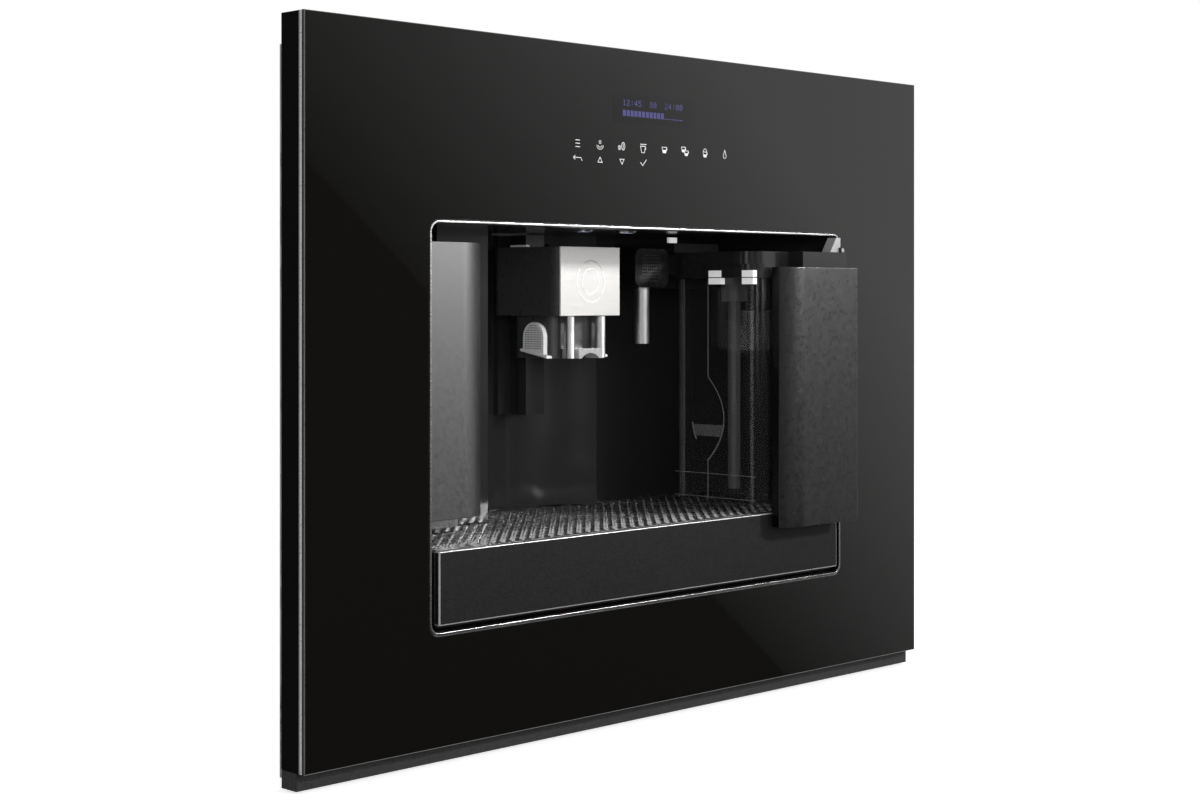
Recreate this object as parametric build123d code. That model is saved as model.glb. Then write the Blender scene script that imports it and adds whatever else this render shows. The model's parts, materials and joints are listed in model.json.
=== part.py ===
from build123d import *
from math import asin, cos, radians, sin
import os

# Built-in coffee machine with a glass front for a compact cupboard niche, on telescopic rails.
# Millimetres; +X right, +Y into the cupboard, +Z up. The origin lies on the cupboard shelf,
# midway between the four screws of the rail brackets. A depth is measured back from the glass.

# Clearances shared by all fits
GAP = 0.3  # between bodies that slide past each other
SHAFT_GAP = 0.08  # radial, shaft in its bearing
EASY_GAP = 2.0  # round pieces that lift or pass through sheet metal

# Front
FRONT = -213.0  # y of the glass face
FASCIA_W = 595.0
FASCIA_H = 455.0
FASCIA_Z = 1.0
GLASS_T = 6.0
FRAME_D = 16.5
FRAME_SKIN = 2.5
FRAME_RIM = 3.0
SEAT_STEP = 0.5  # side rims stand this far behind the top and bottom ones
STRIP_H = 11.0
STRIP_BACK = 8.0
TRIM_T = 1.5
TRIM_PROUD = 0.4
TRIM_D = 12.0
NICHE_W = 402.0
NICHE_H = 252.5
NICHE_Z = 82.5
NICHE_R = 6.0
DISPLAY_X = -2.0
DISPLAY_DROP = 40.0  # below the top edge of the glass
DISPLAY_W = 79.0
DISPLAY_H = 18.0
DISPLAY_T = 7.0
DISPLAY_BEZEL = 4.0
KEYS_PITCH = 20.9
KEYS_DROP = 71.0
KEYS_H = 26.0
BOARD_T = 1.6

# Casing
CASE_HALF = 260.0  # to the inner face of a side panel
CASE_BACK = 183.0
CASE_DROP = 12.0
PAN_Z = 8.0
PAN_T = 1.5
PAN_LIP = 42.0
SHEET = 1.2
PANEL_LIFT = 38.0
DECK_Z = 246.0
DECK_FRONT = -54.0
VENT_W = 60.0
VENT_H = 4.0
VENT_PITCH = 12.0
VENT_ROWS = 9

# Rails
BRACKET_T = 1.5
BRACKET_H = 40.0
FLANGE_W = 47.0
RAIL_FRONT = -185.0
RAIL_LEN = 360.0
RAIL_Z = 26.0
RAIL_T = 1.5
RAIL_BAR_W = 13.9
RAIL_BAR_H = 14.0
RAIL_LIP = 12.0
SHELF_SCREW_IN = 29.0
SHELF_SCREW_Y = 260.0
SHELF_SCREW_R = 2.25

# Niche liner
LINER_T = 2.5
LINER_D = 150.0
RECESS_X = 8.0
RECESS_DEPTH = 72.0
RECESS_R = 80.0
RECESS_END = 68.0
LEDGE_Z = 134.0
BAY_RIGHT = -115.0
PILLAR_FRONT = 95.0
BIN_FRONT = 70.0
LIGHT_PITCH = 43.0
LIGHT_X = -3.0
LIGHT_D = 45.0
LIGHT_R = 5.0

# Service door
DOOR_FACE = 18.0
DOOR_T = 3.0
DOOR_BEND_R = 34.0
DOOR_W = 72.0
DOOR_SIDE = 3.0
DOOR_TAIL = 8.0
DOOR_BOTTOM = 149.0
DOOR_H = 175.0
DOOR_AXIS_IN = 5.5
KNUCKLE_R = 3.5
PIN_R = 1.5
PIN_LEN = 8.0
LUG_T = 3.0
LUG_W = 11.0

# Drip tray
TRAY_WALL = 2.0
TRAY_FLOOR_LIFT = 2.5
TRAY_SIDE_GAP = 7.0
TRAY_BACK = 147.5
TRAY_FACE_PROUD = 2.0
TRAY_FACE_T = 5.0
TRAY_FACE_H = 45.9
TRAY_FACE_GAP = 4.5
GRILLE_T = 1.5
GRILLE_MARGIN = 7.0
HOLE_R = 2.2
HOLE_PITCH = 8.6

# Coffee spout
SPOUT_W = 59.0
SPOUT_FACE = 63.0
SPOUT_BACK = 134.0
SPOUT_Z = 276.0
SPOUT_H = 48.5
PLATE_T = 2.0
BLOCK_R = 8.0
COLUMN_W = 50.0
COLUMN_Z = 246.0
COLUMN_FRONT = 76.0
COLUMN_BACK = 118.0
TUBE_R = 3.75
TUBE_PITCH = 30.6
TUBE_D = 69.0
TUBE_SINK = 20.0
BRIDGE_H = 7.0
NOTCH_R = 12.0
NOTCH_DROP = 8.2  # centre of the notch below the bridge
GRIP_MIDDLE = 91.5
GRIP_D = 21.5
GRIP_H = 20.5
GRIP_LIFT = 5.0
GRIP_T = 4.0
GRIP_LEDGE_T = 2.0
GRIP_LEDGE_OUT = 1.5
GUIDE_W = 36.0
GUIDE_Z = 204.0
GUIDE_PLATE = 5.0
GUIDE_HEAD_W = 18.0
GUIDE_HEAD_T = 8.0
GUIDE_NECK_W = 8.0
GUIDE_NECK = 14.0
GUIDE_BACK = 147.0

# Milk jug
JUG_W = 84.0
JUG_FRONT = -3.0
JUG_BACK = 80.0
JUG_WALL = 2.0
JUG_R = 12.0
JUG_SIDE = 13.0
JUG_BASE_H = 7.0
JUG_H = 163.0
LID_H = 19.0
LID_BAND = 9.0
LID_OVER = 6.0
LID_WALL = 2.5
COVER_FACE = -19.0
COVER_T = 3.0
COVER_Z = 123.0
COVER_H = 188.0
COVER_FLAT = 62.0
COVER_BEND_R = 35.0
COVER_TURN = 36.9
COVER_TAIL = 7.0
FROTH_X = 139.0
FROTH_DEPTH = 50.0
FROTH_R = 10.0
FROTH_H = 34.0
INTAKE_R = 4.9
INTAKE_BORE = 3.4
HEAD_W = 35.0
HEAD_ARM = 18.5
HEAD_D = 20.0
HEAD_H = 28.0
HEAD_R = 6.0
MILK_TUBE_R = 5.3
MILK_TUBE_BORE = 4.0
MILK_TUBE_DROP = 41.0
MILK_TUBE_IN = 22.0
NOZZLE_R = 4.5
NOZZLE_BORE = 2.5
DOCK_W = 50.0
DOCK_H = 34.0
LEVER_W = 12.0
LEVER_H = 11.0
LEVER_D = 8.0
LEVER_PIN_R = 1.5
EAR_T = 2.0

# Brewing, inside
BREW_X = -125.0
BREW_Y = 8.0
BREW_W = 120.0
BREW_D = 112.0
BREW_DECK_Z = 50.0
BREW_PLATE = 8.0
BREW_TOP = 240.0
CHAMBER_R = 26.0
BORE_R = 22.0
CHAMBER_H = 70.0
CHAMBER_FLOOR = 6.0
CHAMBER_LIFT = 4.0
PISTON_H = 42.0
SCREW_R = 4.0
SCREW_OFF_X = 35.0
SCREW_OFF_Y = 22.0
MOTOR_R = 16.0
MOTOR_H = 36.0
GRINDER_X = -125.0
GRINDER_Y = 45.0
GRINDER_R = 40.0
GRINDER_WALL = 5.0
GRINDER_Z = 296.0
GRINDER_H = 44.0
GRINDER_MOTOR_R = 31.0
BURR_R = 30.0
BURR_H = 14.0
BURR_SHAFT_R = 4.0
CHUTE_W = 24.0
HOPPER_X = (-213.0, -37.0)
HOPPER_Y = (-46.0, 106.0)
HOPPER_WALL = 2.5
HOPPER_RIM = 5.0
HOPPER_RIM_T = 1.5
NECK_R = 22.0
LID_T = 2.5
LID_PIN_R = 2.0
KNOB_R = 13.0
KNOB_H = 6.5
KNOB_X = 0.0
KNOB_Y = 60.0

# Water and heat, inside
TANK_W = 45.5
TANK_SIDE = 5.0
TANK_Y = (-58.0, 148.0)
TANK_Z = 150.0
TANK_H = 296.0
TANK_WALL = 2.0
TANK_R = 6.0
CRADLE_WALL = 2.5
VALVE_R = 6.0
VALVE_DROP = 6.0
BOILER_X = (20.0, 130.0)
BOILER_Y = (-30.0, 60.0)
BOILER_H = 76.0
BOILER_FOOT = 6.0
PUMP_X = (20.0, 110.0)
PUMP_Y = 60.0
PUMP_Z = 45.0
PUMP_R = 20.0
PIPE_R = 3.0
PIPE_BEND = 10.0
DIVIDER_GAP = 4.5
CONTROL_X = (20.0, 190.0)
CONTROL_H = 130.0
CONTROL_DROP = 44.0
CONTROL_STAND = 10.0
INLET_X = -180.0
INLET_Z = 60.0
INLET_W = 27.0
INLET_H = 20.0
INLET_D = 22.0
SWITCH_X = -130.0
SWITCH_W = 14.0
SWITCH_H = 22.0
SCREW_HEAD_R = 4.0
SCREW_HEAD_T = 2.0
SCREW_IN = 12.0

# Worked out from the values above
FASCIA_HALF = FASCIA_W / 2
GLASS_Z = FASCIA_Z + STRIP_H
FASCIA_TOP = FASCIA_Z + FASCIA_H
DISPLAY_Z = FASCIA_TOP - DISPLAY_DROP
KEYS_Z = FASCIA_TOP - KEYS_DROP
FRAME_BACK = GLASS_T + FRAME_D
CASE_FRONT = FRONT + FRAME_BACK
CASE_TOP = FASCIA_TOP - CASE_DROP
NICHE_LEFT = -NICHE_W / 2
NICHE_RIGHT = NICHE_W / 2
NICHE_TOP = NICHE_Z + NICHE_H
PAN_TOP = PAN_Z + PAN_T
TRAY_FACE_Z = NICHE_Z + TRAY_FACE_GAP
GRILLE_Z = TRAY_FACE_Z + TRAY_FACE_H - GRILLE_T
RAIL_BACK = RAIL_FRONT + RAIL_LEN
BRACKET_HALF = CASE_HALF + RAIL_BAR_W + 2 * (GAP + RAIL_T) + BRACKET_T
SHELF_SCREW_X = 2 * (BRACKET_HALF - SHELF_SCREW_IN)
JUG_RIGHT = NICHE_RIGHT - JUG_SIDE
JUG_LEFT = JUG_RIGHT - JUG_W
JUG_Z = GRILLE_Z + GRILLE_T + GAP
TANK_FLOOR_Z = JUG_Z + JUG_BASE_H
JUG_TOP = TANK_FLOOR_Z + JUG_H
LID_TOP = JUG_TOP + LID_H
LID_LEFT = JUG_LEFT - LID_OVER
LID_FRONT = COVER_FACE + COVER_T
LID_BACK = JUG_BACK + LID_OVER
NOZZLE_Z = JUG_TOP + LID_H / 2
HEAD_Z = LID_TOP + 2.0 - HEAD_H
HEAD_FRONT = RECESS_DEPTH - HEAD_D / 2
MILK_TUBE_X = LID_LEFT - HEAD_ARM - HEAD_W / 2
DOOR_AXIS_X = NICHE_LEFT + DOOR_AXIS_IN
DOOR_AXIS_D = DOOR_FACE + DOOR_T + 1.5
GRINDER_TOP = GRINDER_Z + GRINDER_H
CHAMBER_Z = BREW_DECK_Z + BREW_PLATE + CHAMBER_LIFT
PISTON_Z = BREW_TOP - BREW_PLATE - PISTON_H
HOPPER_TOP = CASE_TOP + SHEET
TANK_TOP = TANK_Z + TANK_H
TANK_X = (CASE_HALF - TANK_SIDE - TANK_W, CASE_HALF - TANK_SIDE)
DIVIDER_X = TANK_X[0] - DIVIDER_GAP
CONTROL_Z = (CASE_TOP - CONTROL_DROP - CONTROL_H, CASE_TOP - CONTROL_DROP)


def block(x, y, z):
    """Box that spans the pairs x, y and z."""
    spans = (x, y, z)
    size = [high - low for low, high in spans]
    middle = [(low + high) / 2 for low, high in spans]
    return Pos(*middle) * Box(*size)


def depth(front, back):
    """Pair of y values for two depths behind the glass face."""
    return (FRONT + front, FRONT + back)


def around(middle, width):
    """Pair of values that lies evenly about a middle."""
    return (middle - width / 2, middle + width / 2)


def post(x, y, z, radius):
    """Upright cylinder over the pair z."""
    return Pos(x, y, (z[0] + z[1]) / 2) * Cylinder(radius, z[1] - z[0])


def rod_x(x, y, z, radius):
    """Cylinder along X over the pair x."""
    return Pos((x[0] + x[1]) / 2, y, z) * Rot(Y=90) * Cylinder(radius, x[1] - x[0])


def rod_y(x, y, z, radius):
    """Cylinder along Y over the pair y."""
    return Pos(x, (y[0] + y[1]) / 2, z) * Rot(X=90) * Cylinder(radius, y[1] - y[0])


def rounded_window(x, y, z, radius):
    """Block whose four edges along Y are rounded."""
    sketch = RectangleRounded(x[1] - x[0], z[1] - z[0], radius)
    middle = Pos((x[0] + x[1]) / 2, (y[0] + y[1]) / 2, (z[0] + z[1]) / 2)
    return middle * Rot(X=90) * extrude(sketch, (y[1] - y[0]) / 2, both=True)


def rounded_post(x, y, z, radius):
    """Block whose four upright edges are rounded."""
    sketch = RectangleRounded(x[1] - x[0], y[1] - y[0], radius)
    return Pos((x[0] + x[1]) / 2, (y[0] + y[1]) / 2, z[0]) * extrude(sketch, z[1] - z[0])


def grown(span, by):
    """Pair of values moved apart by a distance at both ends."""
    return (span[0] - by, span[1] + by)


def both_sides(shape):
    """The shape and its mirror image on the other side."""
    return shape + mirror(shape, Plane.YZ)


def bent_sheet(x_flat, x_bend, face, radius, turn, tail, thick):
    """Plan of a sheet that runs flat in +X, bends back, and ends in a straight tail."""
    centre = Vector(x_bend, face + radius)
    inner = radius - thick
    edge_x = radius * sin(radians(turn))
    inner_turn = asin(min(1.0, (edge_x - thick) / inner))

    def on_arc(reach, angle):
        return centre + Vector(sin(angle), -cos(angle)) * reach

    outer_end = on_arc(radius, radians(turn))
    inner_end = on_arc(inner, inner_turn)
    tail_y = outer_end.Y + tail
    outline = [
        Line((x_flat, face), (x_bend, face)),
        ThreePointArc((x_bend, face), on_arc(radius, radians(turn) / 2), outer_end),
        Line(outer_end, (outer_end.X, tail_y)),
        Line((outer_end.X, tail_y), (outer_end.X - thick, tail_y)),
        Line((outer_end.X - thick, tail_y), inner_end),
        ThreePointArc(inner_end, on_arc(inner, inner_turn / 2), (x_bend, face + thick)),
        Line((x_bend, face + thick), (x_flat, face + thick)),
        Line((x_flat, face + thick), (x_flat, face)),
    ]
    return make_face(outline)


# Front


def glass_panel():
    face = block((-FASCIA_HALF, FASCIA_HALF), depth(0, GLASS_T), (GLASS_Z, FASCIA_TOP))
    edge = TRIM_T + GAP
    opening = grown((NICHE_LEFT, NICHE_RIGHT), edge)
    height = grown((NICHE_Z, NICHE_TOP), edge)
    return face - rounded_window(opening, depth(-1, GLASS_T + 1), height, NICHE_R + edge)


def niche_trim():
    outer = rounded_window(
        grown((NICHE_LEFT, NICHE_RIGHT), TRIM_T),
        depth(-TRIM_PROUD, TRIM_D),
        grown((NICHE_Z, NICHE_TOP), TRIM_T),
        NICHE_R + TRIM_T,
    )
    inner = rounded_window(
        (NICHE_LEFT, NICHE_RIGHT), depth(-1, TRIM_D + 1), (NICHE_Z, NICHE_TOP), NICHE_R
    )
    return outer - inner


def front_frame():
    width = (-FASCIA_HALF, FASCIA_HALF)
    height = (GLASS_Z, FASCIA_TOP)
    shell = block(width, depth(GLASS_T, FRAME_BACK), height)
    behind = depth(GLASS_T + FRAME_SKIN, FRAME_BACK)
    inner = grown(width, -FRAME_RIM)
    hollow = block(inner, (behind[0], behind[1] + 1), grown(height, -FRAME_RIM))
    hollow += block(inner, depth(FRAME_BACK - SEAT_STEP, FRAME_BACK + 1), grown(height, 1))
    opening_x = grown((NICHE_LEFT, NICHE_RIGHT), LINER_T + GAP)
    opening_z = grown((NICHE_Z, NICHE_TOP), LINER_T + GAP)
    collar = block(grown(opening_x, FRAME_SKIN), behind, grown(opening_z, FRAME_SKIN))
    rib_x = (CASE_HALF - FRAME_RIM, CASE_HALF + SHEET)
    ribs = both_sides(block(rib_x, behind, grown(height, -FRAME_RIM)))
    frame = shell - hollow + collar + ribs
    frame -= block(opening_x, depth(GLASS_T - 1, FRAME_BACK + 1), opening_z)
    window_x = around(DISPLAY_X, KEYS_PITCH * 8 + DISPLAY_BEZEL)
    window_z = (KEYS_Z - KEYS_H / 2 - 1, DISPLAY_Z + DISPLAY_H / 2 + DISPLAY_BEZEL + 1)
    return frame - block(window_x, depth(GLASS_T - 1, GLASS_T + FRAME_SKIN + 1), window_z)


def vent_strip():
    width = (-FASCIA_HALF, FASCIA_HALF)
    bar = block(width, depth(STRIP_BACK, FRAME_BACK), (FASCIA_Z, GLASS_Z))
    hollow = block(
        grown(width, -FRAME_RIM),
        depth(STRIP_BACK + FRAME_SKIN, FRAME_BACK + 1),
        (FASCIA_Z + FRAME_SKIN, GLASS_Z - FRAME_SKIN),
    )
    return bar - hollow


def display_module():
    width = around(DISPLAY_X, DISPLAY_W + 2 * DISPLAY_BEZEL)
    height = around(DISPLAY_Z, DISPLAY_H + 2 * DISPLAY_BEZEL)
    case = block(width, depth(GLASS_T, GLASS_T + DISPLAY_T), height)
    cell = block(
        around(DISPLAY_X, DISPLAY_W),
        depth(GLASS_T - 1, GLASS_T + 1.5),
        around(DISPLAY_Z, DISPLAY_H),
    )
    return case - cell


def touch_board():
    width = around(DISPLAY_X, KEYS_PITCH * 8)
    board = block(width, depth(GLASS_T, GLASS_T + BOARD_T), around(KEYS_Z, KEYS_H))
    back = GLASS_T + BOARD_T
    return board + block(around(DISPLAY_X, 30), depth(back, back + 6), around(KEYS_Z, 8))


# Niche


def recess(extra, z):
    """The round recess, grown outwards by a wall, up to the end of its curved wall."""
    drum = post(RECESS_X, FRONT + RECESS_DEPTH, z, RECESS_R + extra)
    reach = RECESS_R + extra + 1
    back = depth(RECESS_DEPTH, RECESS_DEPTH + reach)
    limit = block((RECESS_X - reach, RECESS_END + extra), back, z)
    return drum & limit


def niche_space(extra, front):
    """Room inside the niche, grown by a wall on every side but the front."""
    low = NICHE_Z - extra
    ledge = LEDGE_Z - extra
    top = NICHE_TOP + extra
    left = NICHE_LEFT - extra
    right = NICHE_RIGHT + extra
    room = block((left, right), depth(front, PILLAR_FRONT + extra), (low, top))
    room += block((left, right), depth(front, LINER_D + extra), (low, LEDGE_Z + extra))
    room += block((left, BAY_RIGHT + extra), depth(front, LINER_D + extra), (ledge, top))
    room += block((RECESS_END - extra, right), depth(front, LINER_D + extra), (ledge, top))
    return room + recess(extra, (ledge, top))


def niche_liner():
    liner = niche_space(LINER_T, TRIM_D) - niche_space(0, TRIM_D - 1)
    pad_x = around(0, GUIDE_W)
    liner += block(pad_x, depth(GUIDE_BACK, RECESS_DEPTH + RECESS_R + LINER_T), (GUIDE_Z, NICHE_TOP))
    shelf_y = depth(BIN_FRONT, LINER_D)
    liner += block((NICHE_LEFT, BAY_RIGHT), shelf_y, (LEDGE_Z, LEDGE_Z + LINER_T))
    brew_window = block(
        (NICHE_LEFT + 6, BAY_RIGHT - 6),
        depth(LINER_D - 1, LINER_D + LINER_T + 1),
        (DECK_Z + 6, NICHE_TOP - 8),
    )
    hose = rod_y(GUIDE_W, depth(LINER_D - 20, LINER_D + 20), NICHE_TOP - 10, 4)
    liner = liner - brew_window - hose
    for x in around(LIGHT_X, LIGHT_PITCH):
        liner -= post(x, FRONT + LIGHT_D, (NICHE_TOP - 1, NICHE_TOP + LINER_T + 1), LIGHT_R)
    steam_y = depth(LINER_D - 1, LINER_D + LINER_T + 1)
    return liner - rod_y(FROTH_X, steam_y, NOZZLE_Z, PIPE_R + EASY_GAP)


def cup_lights():
    back = NICHE_TOP + LINER_T
    lamps = []
    for x in around(LIGHT_X, LIGHT_PITCH):
        lens = post(x, FRONT + LIGHT_D, (NICHE_TOP - 0.5, back), LIGHT_R - GAP)
        lamps.append(lens + post(x, FRONT + LIGHT_D, (back, back + 4), LIGHT_R + 2))
    return lamps[0] + lamps[1]


def service_door():
    edge = NICHE_LEFT + DOOR_SIDE
    bend = edge + DOOR_W - DOOR_BEND_R
    plan = bent_sheet(edge, bend, FRONT + DOOR_FACE, DOOR_BEND_R, 90, DOOR_TAIL, DOOR_T)
    door = Pos(0, 0, DOOR_BOTTOM) * extrude(plan, DOOR_H)
    axis_y = FRONT + DOOR_AXIS_D
    height = (DOOR_BOTTOM, DOOR_BOTTOM + DOOR_H)
    door += post(DOOR_AXIS_X, axis_y, height, KNUCKLE_R)
    socket = PIN_R + SHAFT_GAP
    for z in height:
        door -= post(DOOR_AXIS_X, axis_y, around(z, 2 * PIN_LEN + 2), socket)
    return door


def door_lugs():
    axis_y = FRONT + DOOR_AXIS_D
    low = DOOR_BOTTOM - GAP
    high = DOOR_BOTTOM + DOOR_H + GAP
    reach = (NICHE_LEFT, NICHE_LEFT + LUG_W)
    across = around(axis_y, LUG_W - 2)
    bottom = block(reach, across, (low - LUG_T, low))
    bottom += post(DOOR_AXIS_X, axis_y, (low, low + PIN_LEN), PIN_R)
    top = block(reach, across, (high, high + LUG_T))
    top += post(DOOR_AXIS_X, axis_y, (high - PIN_LEN, high), PIN_R)
    return bottom + top


def grounds_container():
    x = (NICHE_LEFT + 3, BAY_RIGHT - 3)
    y = depth(BIN_FRONT, LINER_D - 2)
    low = LEDGE_Z + LINER_T
    bin_box = block(x, y, (low, DECK_Z - 6))
    return bin_box - block(grown(x, -2), grown(y, -2), (low + 2, DECK_Z))


# Drip tray


def tray_width():
    return grown((NICHE_LEFT, NICHE_RIGHT), -TRAY_SIDE_GAP)


def drip_tray():
    x = tray_width()
    front = TRAY_FACE_T - TRAY_FACE_PROUD
    low = NICHE_Z + TRAY_FLOOR_LIFT
    tray = block(x, depth(front, TRAY_BACK), (low, GRILLE_Z))
    inside = depth(front + TRAY_WALL, TRAY_BACK - TRAY_WALL)
    tray -= block(grown(x, -TRAY_WALL), inside, (low + TRAY_WALL, GRILLE_Z + 1))
    runner = block((x[1] - 30, x[1] - 20), depth(TRIM_D + 1, TRAY_BACK), (NICHE_Z + GAP, low))
    return tray + both_sides(runner)


def tray_front():
    x = grown((NICHE_LEFT, NICHE_RIGHT), -TRAY_FACE_GAP)
    y = depth(-TRAY_FACE_PROUD, TRAY_FACE_T - TRAY_FACE_PROUD)
    return block(x, y, (TRAY_FACE_Z, TRAY_FACE_Z + TRAY_FACE_H))


def tray_grille():
    x = tray_width()
    y = depth(TRAY_FACE_T - TRAY_FACE_PROUD, TRAY_BACK)
    outer = Wire.make_polygon([(x[0], y[0]), (x[1], y[0]), (x[1], y[1]), (x[0], y[1])])
    rows = int((y[1] - y[0] - 2 * GRILLE_MARGIN) / (HOLE_PITCH / 2))
    columns = int((x[1] - x[0] - 2 * GRILLE_MARGIN) / HOLE_PITCH)
    holes = []
    for row in range(rows):
        shift = HOLE_PITCH / 2 if row % 2 else 0.0
        for column in range(columns):
            centre_x = x[0] + GRILLE_MARGIN + HOLE_R + shift + column * HOLE_PITCH
            centre_y = y[0] + GRILLE_MARGIN + row * HOLE_PITCH / 2
            holes.append(Wire.make_circle(HOLE_R, Plane((centre_x, centre_y, 0))))
    plate = extrude(Face(outer, holes), GRILLE_T, dir=(0, 0, 1))
    return Pos(0, 0, GRILLE_Z) * plate


# Coffee spout


def slot_for_guide():
    """Room for the T-shaped guide in the spout's housing."""
    high = (SPOUT_Z - 1, SPOUT_Z + SPOUT_H + 1)
    head_back = GUIDE_BACK - GUIDE_PLATE - GUIDE_NECK
    head_front = head_back - GUIDE_HEAD_T
    head = block(around(0, GUIDE_HEAD_W + 2 * GAP), depth(head_front - GAP, head_back + GAP), high)
    neck = block(around(0, GUIDE_NECK_W + 2 * GAP), depth(head_back, SPOUT_BACK + 5), high)
    return head + neck


def spout_housing():
    width = around(0, SPOUT_W + 1)
    height = (SPOUT_Z, SPOUT_Z + SPOUT_H)
    body = rounded_post(width, depth(SPOUT_FACE + PLATE_T, SPOUT_BACK), height, BLOCK_R)
    column_y = depth(COLUMN_FRONT, COLUMN_BACK)
    column = rounded_post(around(0, COLUMN_W), column_y, (COLUMN_Z, SPOUT_Z), BLOCK_R)
    housing = body + column - slot_for_guide()
    for x in (-TUBE_PITCH / 2, TUBE_PITCH / 2):
        housing -= post(x, FRONT + TUBE_D, (COLUMN_Z - 1, SPOUT_Z + TUBE_SINK), TUBE_R + SHAFT_GAP)
    return housing


def spout_plate():
    y = depth(SPOUT_FACE, SPOUT_FACE + PLATE_T)
    return block(around(0, SPOUT_W), y, (SPOUT_Z, SPOUT_Z + SPOUT_H))


def coffee_tubes():
    left = post(-TUBE_PITCH / 2, FRONT + TUBE_D, (COLUMN_Z, SPOUT_Z + TUBE_SINK), TUBE_R)
    left -= post(-TUBE_PITCH / 2, FRONT + TUBE_D, (COLUMN_Z - 1, SPOUT_Z + TUBE_SINK - 3), TUBE_R - 1)
    return both_sides(left)


def spout_bridge():
    y = depth(TUBE_D - 6, COLUMN_FRONT)
    width = around(0, TUBE_PITCH + TUBE_R)
    bridge = rounded_post(width, y, (COLUMN_Z, COLUMN_Z + BRIDGE_H), 3)
    bridge -= rod_y(0, depth(TUBE_D - 8, COLUMN_FRONT + 1), COLUMN_Z - NOTCH_DROP, NOTCH_R)
    for x in (-TUBE_PITCH / 2, TUBE_PITCH / 2):
        bridge -= post(x, FRONT + TUBE_D, (COLUMN_Z - 1, SPOUT_Z), TUBE_R + SHAFT_GAP)
        bridge -= block(around(x, 2 * TUBE_R), depth(TUBE_D - 8, TUBE_D), (COLUMN_Z - 1, SPOUT_Z))
    return bridge


def spout_grips():
    half = COLUMN_W / 2
    middle = FRONT + GRIP_MIDDLE
    low = COLUMN_Z + GRIP_LIFT
    crown = low + GRIP_H - GRIP_D / 2
    pad = block((half, half + GRIP_T), around(middle, GRIP_D), (COLUMN_Z, crown))
    pad += rod_x((half, half + GRIP_T), middle, crown, GRIP_D / 2)
    back = middle + GRIP_D / 2 + GRIP_LEDGE_OUT
    front = FRONT + COLUMN_FRONT

    def sloping(top, bottom):
        edge = Polyline(
            (back, low + top),
            (back, low - bottom),
            (front, COLUMN_Z - bottom),
            (front, COLUMN_Z + top),
            close=True,
        )
        return Pos(half, 0, 0) * extrude(Plane.YZ * make_face(edge), GRIP_T + GRIP_LEDGE_OUT)

    return both_sides(pad - sloping(0, 2 * GRIP_LIFT) + sloping(GRIP_LEDGE_T, 0))


def spout_guide():
    height = (GUIDE_Z, NICHE_TOP - 1)
    plate_front = GUIDE_BACK - GUIDE_PLATE
    head_back = plate_front - GUIDE_NECK
    plate = block(around(0, GUIDE_W - 4), depth(plate_front, GUIDE_BACK), height)
    neck = block(around(0, GUIDE_NECK_W), depth(head_back, plate_front), height)
    head = block(around(0, GUIDE_HEAD_W), depth(head_back - GUIDE_HEAD_T, head_back), height)
    return plate + neck + head


# Milk jug


def jug_plan(inset, z):
    """Upright prism with the jug's rounded plan, drawn in by an inset."""
    x = grown((JUG_LEFT, JUG_RIGHT), -inset)
    y = grown(depth(JUG_FRONT, JUG_BACK), -inset)
    return rounded_post(x, y, z, max(JUG_R - inset, 1.0))


def milk_tank():
    tank = jug_plan(0, (TANK_FLOOR_Z, JUG_TOP)) + jug_plan(-1.0, (JUG_Z, TANK_FLOOR_Z))
    return tank - jug_plan(JUG_WALL, (TANK_FLOOR_Z + JUG_WALL, JUG_TOP + 1))


def milk_lid():
    x = (LID_LEFT, JUG_RIGHT + 2)
    y = depth(JUG_FRONT, LID_BACK)
    lid = rounded_post(x, y, (LID_TOP - LID_BAND, LID_TOP), JUG_R)
    lid += rounded_post(grown(x, -2), y, (JUG_TOP, LID_TOP - LID_BAND), JUG_R)
    front = depth(LID_FRONT, JUG_FRONT + JUG_R)
    lid += block((NICHE_RIGHT - COVER_FLAT, x[1]), front, (JUG_TOP, LID_TOP))
    pin_x, pin_y, pin_z = lever_pin()
    for side in (-1, 1):
        ear_y = pin_y + side * (LEVER_D / 2 + GAP + EAR_T / 2)
        lid += block(around(pin_x, 2 * EAR_T), around(ear_y, EAR_T), (LID_TOP, pin_z + EAR_T))
    lid -= jug_plan(LID_WALL, (JUG_TOP - 1, LID_TOP - LID_WALL))
    lid -= rod_y(pin_x, around(pin_y, LEVER_D + 4 * EAR_T), pin_z, LEVER_PIN_R + SHAFT_GAP)
    return lid - rod_y(FROTH_X, depth(JUG_BACK - LID_OVER, LID_BACK + 1), NOZZLE_Z, NOZZLE_BORE)


def milk_cover():
    flat_end = -(NICHE_RIGHT - 1)
    bend = flat_end + COVER_FLAT
    face = FRONT + COVER_FACE
    plan = bent_sheet(flat_end, bend, face, COVER_BEND_R, COVER_TURN, COVER_TAIL, COVER_T)
    return mirror(Pos(0, 0, COVER_Z) * extrude(plan, COVER_H), Plane.YZ)


def froth_unit():
    top = LID_TOP - LID_WALL
    y = FRONT + FROTH_DEPTH
    unit = post(FROTH_X, y, (top - FROTH_H, top), FROTH_R)
    return unit - post(FROTH_X, y, (top - FROTH_H - 1, top - FROTH_H + 10), INTAKE_R + SHAFT_GAP)


def intake_tube():
    y = FRONT + FROTH_DEPTH
    z = (TANK_FLOOR_Z + JUG_WALL + 4, LID_TOP - LID_WALL - FROTH_H + 10)
    return post(FROTH_X, y, z, INTAKE_R) - post(FROTH_X, y, grown(z, 1), INTAKE_BORE)


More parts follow.
